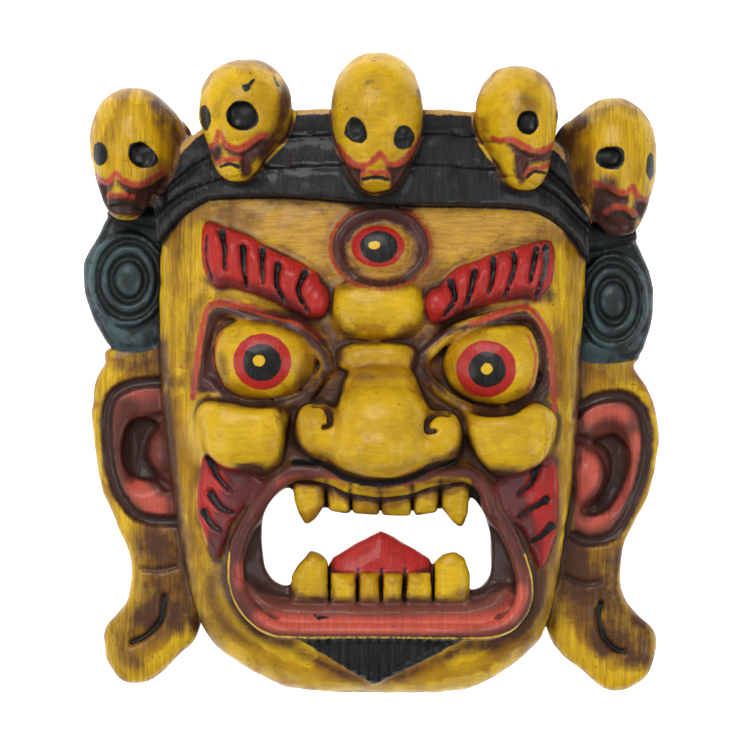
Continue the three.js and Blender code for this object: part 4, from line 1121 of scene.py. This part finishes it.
    over(dark, areaMask(x, y, beard, 0.2, False))
    for flame in flames:
        over(red, areaMask(x, y, flame["outline"], 0.3))
        for cutLine in flame["cuts"]:
            onFlame = areaMask(x, y, flame["outline"])
            over(dark, np.minimum(strokeMask(x, y, cutLine, 4.0, 24, 0.7), onFlame))

    for ear in ears:
        inner = areaMask(x, y, smoothLine(ear["groove"], 48), 0.5, False)
        over(salmon, np.minimum(inner, onEar))
        over(maroon, np.minimum(strokeMask(x, y, ear["groove"], 6.4, 48), onEar))
        over(maroon, np.minimum(areaMask(x, y, ear["concha"], -0.8), onEar))
        over(dark, strokeMask(x, y, ear["crescent"], 2.6))
        over(maroon, strokeMask(x, y, ear["crease"], 2.0))
    for hook in noseHooks:
        over(maroon, strokeMask(x, y, hook, 1.8))
    return {"paintA": (red, dark, maroon, salmon), "paintB": (teal, orange, gold, bare)}


def blurred(grid, sigma):
    fx = np.fft.fftfreq(grid.shape[0])[:, None]
    fy = np.fft.rfftfreq(grid.shape[1])[None]
    kernel = np.exp(-2 * (math.pi * sigma) ** 2 * (fx ** 2 + fy ** 2))
    return np.fft.irfft2(np.fft.rfft2(grid) * kernel, grid.shape)


heightMap = {"step": 1.25, "left": -158.0, "foot": -172.0, "cells": (256, 280)}


def surroundings(verts, facing, rangeMm):
    # How far the skin around each point stands over it, averaged over a distance.
    step, (nx, ny) = heightMap["step"], heightMap["cells"]
    across = (verts[:, 0] - heightMap["left"]) / step
    up = (verts[:, 1] - heightMap["foot"]) / step
    i = np.clip(across.astype(int), 0, nx - 1)
    j = np.clip(up.astype(int), 0, ny - 1)
    top = np.full(nx * ny, -1.0)
    np.maximum.at(top, i * ny + j, verts[:, 2])
    top = top.reshape(nx, ny)
    solid = (top > 0).astype(float)
    weight = np.maximum(blurred(solid, rangeMm / step), 0.02)
    around = blurred(np.where(top > 0, top, 0), rangeMm / step) / weight
    u = np.clip(across - 0.5, 0, nx - 2)
    v = np.clip(up - 0.5, 0, ny - 2)
    a, b = u.astype(int), v.astype(int)
    s, t = u - a, v - b

    def between(grid):
        return ((1 - s) * (1 - t) * grid[a, b] + s * (1 - t) * grid[a + 1, b]
                + (1 - s) * t * grid[a, b + 1] + s * t * grid[a + 1, b + 1])
    inward = smoothStep(0.56, 0.9, between(blurred(solid, 5.0 / step)))
    inner = smoothStep(0.62, 0.86, between(blurred(solid, 9.0 / step)))
    front = smoothStep(0.1, 0.4, facing)
    inward = inward * (front + (1 - front) * inner)
    over = between(around) - verts[:, 2]
    return np.where(over > 0, over * inward, over), inward


def newMesh(name, verts, faces):
    mesh = bpy.data.meshes.new(name)
    mesh.vertices.add(len(verts))
    mesh.vertices.foreach_set("co", verts.astype(np.float32).ravel())
    size = faces.shape[1]
    mesh.loops.add(len(faces) * size)
    mesh.loops.foreach_set("vertex_index", faces.astype(np.int32).ravel())
    mesh.polygons.add(len(faces))
    mesh.polygons.foreach_set("loop_start", np.arange(len(faces), dtype=np.int32) * size)
    mesh.update(calc_edges=True)
    return mesh


def thinned(mesh, most):
    # The same skin with fewer triangles.
    triangles = sum(len(p.vertices) - 2 for p in mesh.polygons)
    holder = bpy.data.objects.new("holder", mesh)
    bpy.context.scene.collection.objects.link(holder)
    tool = holder.modifiers.new("thin", "DECIMATE")
    tool.ratio = min(1.0, most / triangles)
    tool.use_collapse_triangulate = True
    graph = bpy.context.evaluated_depsgraph_get()
    result = bpy.data.meshes.new_from_object(holder.evaluated_get(graph))
    bpy.data.objects.remove(holder)
    return result


def knifeFacets(verts, rng):
    # Shallow flats left by a knife, round seeds scattered over the block.
    size, depth = sculpt["facetSize"], sculpt["facetDepth"]
    low = verts.min(0)
    count = ((verts.max(0) - low) / size).astype(int) + 3
    seeds = rng.uniform(0, 1, (*count, 3))
    cell = ((verts - low) / size).astype(int) + 1
    local = (verts - low) / size + 1
    best = np.full(len(verts), 9.0)
    for i in (-1, 0, 1):
        for j in (-1, 0, 1):
            for k in (-1, 0, 1):
                near = np.clip(cell + (i, j, k), 0, count - 1)
                far = ((near + seeds[tuple(near.T)] - local) ** 2).sum(1)
                np.minimum(best, far, out=best)
    return depth * (0.5 - np.clip(best, 0, 1.5))


def carve():
    block = Block(sculpt["blockLow"], sculpt["blockHigh"], sculpt["gridStep"])
    carveHead(block)
    carveEyes(block)
    carveFace(block)
    carveMouth(block)
    carveSkulls(block)
    carveSides(block)
    print("forms carved on", block.wood.shape)
    untangle(block)
    verts, quads = surfaceOf(block)
    verts = smoothed(verts, quads, 1, 0.35)
    normals = vertexNormals(verts, quads)
    front = smoothStep(0.1, 0.5, normals[:, 2]) * sculpt["reliefDepth"]
    verts -= normals * (reliefOf(verts[:, 0], verts[:, 1]) * front)[:, None]
    rng = np.random.default_rng(7)
    wobble = smoothed(rng.normal(size=(len(verts), 1)), quads, sculpt["wobbleRounds"], 0.8)[:, 0]
    wobble *= sculpt["handWobble"] / max(wobble.std(), 1e-6) * 0.5
    verts += normals * (np.clip(wobble, -0.8, 0.8) * (normals[:, 2] > -0.5))[:, None]
    facets = knifeFacets(verts, rng) * smoothStep(-0.2, 0.3, normals[:, 2])
    verts += normals * facets[:, None]
    print("skin has", len(verts), "points")
    mesh = thinned(newMesh("carving", verts, quads), sculpt["mostTriangles"])
    print("thinned to", len(mesh.polygons), "triangles")
    return mesh


def finishMask(mesh):
    verts = np.zeros(len(mesh.vertices) * 3, np.float32)
    mesh.vertices.foreach_get("co", verts)
    verts = verts.reshape(-1, 3).astype(float)
    faces = np.zeros(len(mesh.polygons) * 3, np.int32)
    mesh.polygons.foreach_get("vertices", faces)
    faces = faces.reshape(-1, 3)
    normals = vertexNormals(verts, faces)
    x, y, z = verts.T
    layers = paintLayers(x, y, z)
    inHollow = areaMask(x, y, headLine, -12, False)
    bareBack = np.maximum(2.0 - z, -9) + np.clip(-normals[:, 2], 0, 1) * 4
    bareBack = np.maximum(bareBack, np.minimum(inHollow, (-0.25 - normals[:, 2]) * 9))
    forehead = areaMask(x, y, foreheadOutline)
    # Hollows and proud parts, from the heights around each point: the material puts wash with painted
    # shade in the hollows and a painted highlight on proud parts
    around, inward = zip(*(surroundings(verts, normals[:, 2], reach) for reach in (1.8, 4.5, 11)))
    around = [np.clip(over, -8, 8) for over in around]
    # Painted shade: brown on walls that turn away from the front, darker towards the table
    wallShade = sculpt["wallShadeStrength"] * smoothStep(0.5, -0.1, normals[:, 2]) * (1 - inward[0])
    wallShade = wallShade * smoothStep(60, 12, z)  # fades in towards the table
    # brushed brown wash, part antiquing and part painted shade
    washAndShadeCover = brushedOn(x, y, washAndShadeStrokes + earStrokes())
    layers["paintC"] = (bareBack, forehead, brushedOn(x, y, pinkStrokes), np.maximum(washAndShadeCover, wallShade))
    layers["shape"] = (*around, brushedOn(x, y, rubbedAndHighlightStrokes))
    for name, columns in layers.items():
        made = mesh.attributes.new(name, "FLOAT_COLOR", "POINT")
        made.data.foreach_set("color", np.stack(columns, 1).astype(np.float32).ravel())
    low, high = (np.array(c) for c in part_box("mask"))
    mine = verts.min(0), verts.max(0)
    fitted = low + (verts - mine[0]) * (high - low) / (mine[1] - mine[0])
    mesh.vertices.foreach_set("co", fitted.astype(np.float32).ravel())
    mesh.polygons.foreach_set("use_smooth", np.ones(len(faces), bool))
    mesh.update()
    piece = bpy.data.objects.new("mask_carving", mesh)
    bpy.context.scene.collection.objects.link(piece)
    return piece


# Materials

class Tree:
    def __init__(self, tree):
        self.tree = tree

    def feed(self, socket, value):
        if isinstance(value, bpy.types.NodeSocket):
            self.tree.links.new(value, socket)
        else:
            socket.default_value = value

    def node(self, kind, inputs=None, **settings):
        made = self.tree.nodes.new(kind)
        for key, value in settings.items():
            setattr(made, key, value)
        for key, value in (inputs or {}).items():
            self.feed(made.inputs[key], value)
        return made

    def math(self, operation, a, b=0.0, c=None):
        inputs = {0: a, 1: b}
        if c is not None:
            inputs[2] = c
        return self.node("ShaderNodeMath", inputs, operation=operation).outputs[0]

    def mix(self, factor, a, b, blend="MIX"):
        made = self.node("ShaderNodeMix", data_type="RGBA", blend_type=blend)
        for key, value in ((0, factor), (6, a), (7, b)):
            self.feed(made.inputs[key], value)
        return made.outputs[2]

    def ramp(self, value, low, high, toLow=0.0, toHigh=1.0):
        return self.node("ShaderNodeMapRange", {0: value, 1: low, 2: high, 3: toLow, 4: toHigh},
                         interpolation_type="SMOOTHSTEP").outputs[0]

    def noise(self, vector, scale, detail=3.0, rough=0.55):
        return self.node("ShaderNodeTexNoise", {"Vector": vector, "Scale": scale, "Detail": detail,
                                                "Roughness": rough}).outputs["Fac"]


def newGroup(name, inputs, outputs):
    group = bpy.data.node_groups.new(name, "ShaderNodeTree")
    for label, kind, value in inputs:
        made = group.interface.new_socket(label, in_out="INPUT", socket_type=kind)
        if value is not None:
            made.default_value = value
    for label, kind in outputs:
        group.interface.new_socket(label, in_out="OUTPUT", socket_type=kind)
    tree = Tree(group)
    return group, tree, tree.node("NodeGroupInput"), tree.node("NodeGroupOutput")


def brushGroup():
    # Streaks of a coarse brush along one direction, and the height they leave.
    group, tree, given, out = newGroup(
        "brushStreaks",
        [("Vector", "NodeSocketVector", None), ("Across", "NodeSocketFloat", 900.0),
         ("Along", "NodeSocketFloat", 60.0)],
        [("Streak", "NodeSocketFloat"), ("Patch", "NodeSocketFloat"), ("Height", "NodeSocketFloat")])
    size = tree.node("ShaderNodeCombineXYZ", {0: given.outputs["Across"], 1: given.outputs["Along"],
                                              2: given.outputs["Along"]})
    placed = tree.node("ShaderNodeVectorMath", {0: given.outputs["Vector"], 1: size.outputs[0]},
                       operation="MULTIPLY").outputs[0]
    streak = tree.noise(placed, 1.0, 4.0, 0.65)
    patch = tree.noise(given.outputs["Vector"], 46.0, 4.0, 0.65)
    tree.tree.links.new(tree.ramp(streak, 0.34, 0.66), out.inputs["Streak"])
    tree.tree.links.new(tree.ramp(patch, 0.36, 0.64), out.inputs["Patch"])
    tree.tree.links.new(streak, out.inputs["Height"])
    return group


def wearGroup():
    # Specks, scuffs and hairline cracks.
    group, tree, given, out = newGroup(
        "handWear",
        [("Vector", "NodeSocketVector", None), ("Amount", "NodeSocketFloat", 0.5)],
        [("Speck", "NodeSocketFloat"), ("Scuff", "NodeSocketFloat"), ("Crack", "NodeSocketFloat")])
    vector = given.outputs["Vector"]
    fine = tree.noise(vector, 560.0, 2.0, 0.5)
    patch = tree.noise(vector, 60.0, 2.0, 0.5)
    speck = tree.math("MULTIPLY", tree.ramp(fine, 0.64, 0.7), tree.ramp(patch, 0.5, 0.62))
    scuff = tree.math("MULTIPLY", tree.ramp(tree.noise(vector, 150.0, 6.0, 0.75), 0.55, 0.7),
                      tree.ramp(tree.noise(vector, 26.0, 2.0, 0.5), 0.45, 0.6))
    bent = tree.node("ShaderNodeVectorMath", {
        0: tree.node("ShaderNodeTexNoise", {"Vector": vector, "Scale": 60.0}).outputs["Color"],
        1: (0.012, 0.012, 0.012)}, operation="MULTIPLY").outputs[0]
    moved = tree.node("ShaderNodeVectorMath", {0: vector, 1: bent}, operation="ADD").outputs[0]
    cells = tree.node("ShaderNodeTexVoronoi", {"Vector": moved, "Scale": 26.0},
                      feature="DISTANCE_TO_EDGE").outputs["Distance"]
    crack = tree.math("MULTIPLY", tree.ramp(cells, 0.008, 0.0),
                      tree.ramp(tree.noise(vector, 34.0, 2.0, 0.5), 0.6, 0.68))
    for name, value in (("Speck", speck), ("Scuff", scuff), ("Crack", crack)):
        tree.tree.links.new(tree.math("MULTIPLY", value, given.outputs["Amount"]), out.inputs[name])
    return group


def edgeGroup():
    # A hand-painted edge: a signed distance in millimetres turned to a wavering mask.
    group, tree, given, out = newGroup(
        "handEdge",
        [("Vector", "NodeSocketVector", None), ("Distance", "NodeSocketFloat", 0.0),
         ("Waver", "NodeSocketFloat", 0.6), ("Soft", "NodeSocketFloat", 0.35)],
        [("Mask", "NodeSocketFloat")])
    waver = tree.math("SUBTRACT", tree.noise(given.outputs["Vector"], 230.0, 4.0, 0.65), 0.5)
    moved = tree.math("MULTIPLY_ADD", waver, tree.math("MULTIPLY", given.outputs["Waver"], 3.0),
                      given.outputs["Distance"])
    low = tree.math("MULTIPLY", given.outputs["Soft"], -1.0)
    mask = tree.node("ShaderNodeMapRange", {0: moved, 1: low, 2: given.outputs["Soft"], 3: 0.0, 4: 1.0},
                     interpolation_type="SMOOTHSTEP").outputs[0]
    tree.tree.links.new(mask, out.inputs["Mask"])
    return group


def srgb(r, g, b):
    linear = [((c / 255 + 0.055) / 1.055) ** 2.4 if c > 10 else c / 255 / 12.92 for c in (r, g, b)]
    return (*linear, 1)


paints = {
    "yellow": srgb(174, 126, 2),
    "yellowDeep": srgb(118, 76, 3),
    # rubbed high points, partly painted highlight
    "yellowRubbedAndHighlight": srgb(216, 178, 22),
    "tan": srgb(184, 138, 58),
    "tanDeep": srgb(116, 74, 38),
    # brown wash, also used as painted shade
    "washAndShadeBrown": srgb(92, 54, 24),
    # deepest wash and painted shade, also specks and cracks
    "deepWashAndShade": srgb(46, 28, 22),
    "red": srgb(172, 36, 30),
    "redDeep": srgb(56, 24, 26),
    "dark": srgb(15, 14, 15),
    # grey scuffs and painted sheen on the black paint
    "darkScuffAndSheen": srgb(70, 66, 64),
    "maroon": srgb(72, 36, 32),
    "lip": srgb(112, 56, 44),
    "pink": srgb(196, 88, 72),
    "teal": srgb(32, 38, 38),
    # lighter disc edges, partly painted highlight
    "tealRubAndHighlight": srgb(72, 92, 98),
    "tealGreen": srgb(34, 66, 56),
    "orange": srgb(178, 64, 40),
    "gold": srgb(206, 166, 34),
    "bare": srgb(186, 150, 100),
    "bareBack": srgb(140, 104, 66),
    # how strongly wash and painted shade darken the paint
    "washAndShadeStrength": 1.0,
    "varnish": 0.14,
    "varnishRoughness": 0.13,
    "shine": 0.2,
    "roughness": 0.34,
    "bump": 0.55,
    "bumpDepth": 0.0008,
}


def paintedWood(brush, wear, edge):
    material = bpy.data.materials.new("painted_wood")
    material.use_nodes = True
    tree = Tree(material.node_tree)
    shader = material.node_tree.nodes["Principled BSDF"]
    link = material.node_tree.links.new
    coords = tree.node("ShaderNodeTexCoord").outputs["Object"]
    columns = {}
    for name in ("paintA", "paintB", "paintC", "shape"):
        made = tree.node("ShaderNodeAttribute", attribute_name=name)
        split = tree.node("ShaderNodeSeparateColor", {0: made.outputs["Color"]})
        columns[name] = [split.outputs[0], split.outputs[1], split.outputs[2], made.outputs["Alpha"]]

    def group(which, **inputs):
        made = tree.node("ShaderNodeGroup", node_tree=which)
        for key, value in inputs.items():
            tree.feed(made.inputs[key], value)
        return made.outputs

    def mask(name, column, waver=0.6, soft=0.35):
        made = group(edge, Vector=coords, Distance=columns[name][column], Waver=waver, Soft=soft)
        return made["Mask"]

    def times(a, b):
        return tree.math("MULTIPLY", a, b)

    upright = group(brush, Vector=coords, Across=850.0, Along=60.0)
    level = group(brush, Vector=coords, Across=80.0, Along=650.0)
    worn = group(wear, Vector=coords, Amount=0.8)
    across = tree.node("ShaderNodeSeparateXYZ", {0: coords}).outputs[0]
    sides = tree.ramp(tree.math("ABSOLUTE", across), 0.080, 0.088)
    levelGrain = tree.math("MULTIPLY_ADD", level["Streak"], 0.35, times(level["Patch"], 0.5))
    grain = tree.math("ADD", times(upright["Streak"], sides),
                      times(tree.math("SUBTRACT", 1.0, sides), levelGrain))
    near, middle, wide, rubbedAndHighlight = columns["shape"]
    pinkness, brushedWashAndShade = columns["paintC"][2], columns["paintC"][3]

    # the ochre ground: bright where it was rubbed, partly a painted highlight on proud forms, and brown
    # where the wash gathered, partly painted shade in the hollows
    ochre = tree.mix(times(upright["Patch"], 0.55), paints["yellow"], paints["yellowDeep"])
    ochre = tree.mix(times(grain, 0.5), ochre, paints["yellowDeep"])
    mottle = tree.ramp(tree.noise(coords, 330.0, 6.0, 0.7), 0.5, 0.72)
    ochre = tree.mix(times(mottle, 0.35), ochre, paints["washAndShadeBrown"])
    proud = tree.math("MAXIMUM", tree.ramp(near, -0.25, -1.4), times(tree.ramp(wide, -0.5, -6.0), 0.8))
    proud = tree.math("MAXIMUM", proud, rubbedAndHighlight)
    proud = times(proud, tree.math("MULTIPLY_ADD", grain, -0.55, 1.0))
    ochre = tree.mix(times(proud, 0.75), ochre, paints["yellowRubbedAndHighlight"])
    tanned = tree.mix(times(level["Streak"], 0.6), paints["tan"], paints["tanDeep"])
    ochre = tree.mix(times(mask("paintC", 1, 4.0, 4.0), 0.8), ochre, tanned)
    # brown wash with painted shade, gathered in hollows and under the wash strokes
    pooledWashAndShade = tree.math("MAXIMUM", tree.ramp(near, 0.15, 1.1), times(tree.ramp(middle, 0.4, 3.2), 0.9))
    pooledWashAndShade = tree.math("MAXIMUM", pooledWashAndShade, times(tree.ramp(wide, 1.5, 8.0), 0.6))
    streaky = tree.math("MULTIPLY_ADD", tree.math("SUBTRACT", grain, 0.5), 0.15, brushedWashAndShade)
    streaky = tree.math("MULTIPLY_ADD", tree.math("SUBTRACT", upright["Patch"], 0.5), 0.12, streaky)
    strokedWashAndShade = times(tree.ramp(streaky, -0.1, 1.05), tree.ramp(brushedWashAndShade, 0.0, 0.25))
    pooledWashAndShade = tree.math("MAXIMUM", pooledWashAndShade, strokedWashAndShade)
    pooledWashAndShade = times(pooledWashAndShade, tree.math("MULTIPLY_ADD", rubbedAndHighlight, -0.85, 1.0))
    ragged = tree.math("MULTIPLY_ADD", upright["Patch"], 0.2, 0.88)
    pooledWashAndShade = times(times(pooledWashAndShade, ragged), paints["washAndShadeStrength"])
    pooledWashAndShade = tree.math("MINIMUM", pooledWashAndShade, 1.0)
    colour = tree.mix(pooledWashAndShade, ochre, paints["washAndShadeBrown"])
    # darkest in the deepest hollows: deep wash with painted shade
    deep = tree.math("MAXIMUM", tree.ramp(near, 0.8, 2.4), times(tree.ramp(pooledWashAndShade, 0.72, 1.0), 0.6))
    colour = tree.mix(times(deep, 0.85), colour, paints["deepWashAndShade"])

    # each coat is streaked, and darker where wash and painted shade gather
    def coat(base, painted, tone, deepTone, streaks=0.4):
        tint = tree.mix(times(upright["Streak"], streaks), tone, deepTone)
        tint = tree.mix(times(pooledWashAndShade, 0.85), tint, deepTone)
        return tree.mix(painted, base, tint)

    colour = coat(colour, mask("paintA", 3, 1.0, 0.6),
                  tree.mix(pinkness, paints["lip"], paints["pink"]), paints["maroon"], 0.25)
    colour = coat(colour, mask("paintA", 2, 1.4, 1.5), paints["maroon"], paints["deepWashAndShade"], 0.5)
    colour = coat(colour, mask("paintB", 1, 0.9, 0.9), paints["orange"], paints["maroon"])
    colour = coat(colour, mask("paintA", 0, 0.4, 0.3), paints["red"], paints["redDeep"], 0.3)
    # discs: rubbed, lighter proud edges with painted highlight, and painted shade in the hollows
    edgeRubAndHighlight = times(tree.ramp(near, -0.1, -1.1), upright["Patch"])
    slate = tree.mix(edgeRubAndHighlight, paints["teal"], paints["tealRubAndHighlight"])
    slate = tree.mix(times(tree.ramp(upright["Patch"], 0.5, 1.0), 0.35), slate, paints["tealGreen"])
    slate = tree.mix(times(pooledWashAndShade, 0.6), slate, paints["dark"])
    colour = tree.mix(mask("paintB", 0, 0.6, 0.5), colour, slate)
    # black paint: grey scuffs, with a painted sheen on proud edges
    scuffAndSheen = times(tree.math("MAXIMUM", tree.ramp(near, -0.2, -1.2), worn["Scuff"]),
                    tree.math("MULTIPLY_ADD", upright["Streak"], 0.7, 0.05))
    black = tree.mix(times(scuffAndSheen, 0.3), paints["dark"], paints["darkScuffAndSheen"])
    colour = tree.mix(mask("paintA", 1, 0.5, 0.3), colour, black)
    colour = tree.mix(mask("paintB", 2, 0.3, 0.25), colour, paints["gold"])
    raw = tree.mix(upright["Streak"], paints["bare"], paints["tan"])
    colour = tree.mix(mask("paintB", 3, 0.8, 0.5), colour, raw)
    unpainted = mask("paintC", 0, 2.5, 1.5)
    back = tree.mix(times(level["Streak"], 0.7), paints["bareBack"], paints["washAndShadeBrown"])
    colour = tree.mix(unpainted, colour, back)
    colour = tree.mix(times(worn["Speck"], 0.7), colour, paints["deepWashAndShade"])
    colour = tree.mix(times(worn["Crack"], 0.55), colour, paints["deepWashAndShade"])
    link(colour, shader.inputs["Base Color"])

    gloss = tree.math("MULTIPLY_ADD", upright["Patch"], 0.16, paints["roughness"])
    link(tree.math("ADD", gloss, times(unpainted, 0.4)), shader.inputs["Roughness"])
    openWood = tree.math("MULTIPLY_ADD", tree.ramp(near, 0.3, 1.6), -0.85, 1.0)
    coated = times(times(tree.math("SUBTRACT", 1.0, unpainted), paints["varnish"]), openWood)
    link(coated, shader.inputs["Coat Weight"])
    shader.inputs["Coat Roughness"].default_value = paints["varnishRoughness"]
    shader.inputs["Specular IOR Level"].default_value = paints["shine"]
    grit = times(tree.noise(coords, 190.0, 5.0, 0.65), 0.9)
    relief = tree.math("ADD", times(upright["Height"], 0.6), grit)
    relief = tree.math("ADD", relief, times(level["Height"], 0.35))
    relief = tree.math("SUBTRACT", relief, worn["Crack"])
    bump = tree.node("ShaderNodeBump", {"Height": relief, "Strength": paints["bump"],
                                        "Distance": paints["bumpDepth"]})
    link(bump.outputs[0], shader.inputs["Normal"])
    return material


mesh = carve()
piece = finishMask(mesh)
material = paintedWood(brushGroup(), wearGroup(), edgeGroup())
piece.data.materials.append(material)
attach(piece, "root")
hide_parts("mask")
print("mask painted")

# Floor, light and camera
studio = {
    "floor": 0.9,
    "floorGlow": 1.0,
    "lights": [("top_softbox", 15.5, 0.9, (-0.35, 0.75, 1.35)),  # name, power, size, place
               ("side_softbox", 6.0, 0.8, (0.9, -0.3, 1.2)),
               ("left_softbox", 6.0, 0.8, (-1.0, -0.35, 1.1))],
    "sky": 0.36,
    "lens": 300.0,
    "frameWidth": 0.375,
    "aim": (0.00200, -0.00014),
    "aimHeight": 0.05,
    "lit": (0, 0, 0.04),
    "floorReach": 6,
    "floorDrop": 0.0004,
}


def addFloor():
    floorMesh = bpy.data.meshes.new("floor")
    r = studio["floorReach"]
    floorMesh.from_pydata([(-r, -r, 0), (r, -r, 0), (r, r, 0), (-r, r, 0)], [], [(0, 1, 2, 3)])
    floor = bpy.data.objects.new("floor", floorMesh)
    floor.location.z = -studio["floorDrop"]
    bpy.context.scene.collection.objects.link(floor)
    paper = bpy.data.materials.new("paper")
    paper.use_nodes = True
    shader = paper.node_tree.nodes["Principled BSDF"]
    shade = studio["floor"]
    shader.inputs["Base Color"].default_value = (shade, shade, shade, 1)
    shader.inputs["Roughness"].default_value = 0.9
    shader.inputs["Emission Color"].default_value = (1, 1, 1, 1)
    shader.inputs["Emission Strength"].default_value = studio["floorGlow"]
    floorMesh.materials.append(paper)


def addLight(name, power, size, at):
    data = bpy.data.lights.new(name, "AREA")
    data.shape = "DISK"
    data.size = size
    data.energy = power
    light = bpy.data.objects.new(name, data)
    light.location = at
    light.rotation_euler = (Vector(studio["lit"]) - Vector(at)).to_track_quat("-Z", "Y").to_euler()
    bpy.context.scene.collection.objects.link(light)


def addCamera():
    data = bpy.data.cameras.new("camera")
    data.type = "PERSP"
    data.sensor_width = 36.0
    data.lens = studio["lens"]
    data.clip_end = 50
    camera = bpy.data.objects.new("camera", data)
    distance = studio["frameWidth"] * studio["lens"] / data.sensor_width
    camera.location = (studio["aim"][0], studio["aim"][1], studio["aimHeight"] + distance)
    bpy.context.scene.collection.objects.link(camera)
    bpy.context.scene.camera = camera


addFloor()
for light in studio["lights"]:
    addLight(*light)
world = bpy.data.worlds.new("studio")
world.use_nodes = True
sky = world.node_tree.nodes["Background"]
sky.inputs["Color"].default_value = (1, 1, 1, 1)
sky.inputs["Strength"].default_value = studio["sky"]
bpy.context.scene.world = world
bpy.context.scene.view_settings.view_transform = "Standard"
addCamera()
print("studio set")
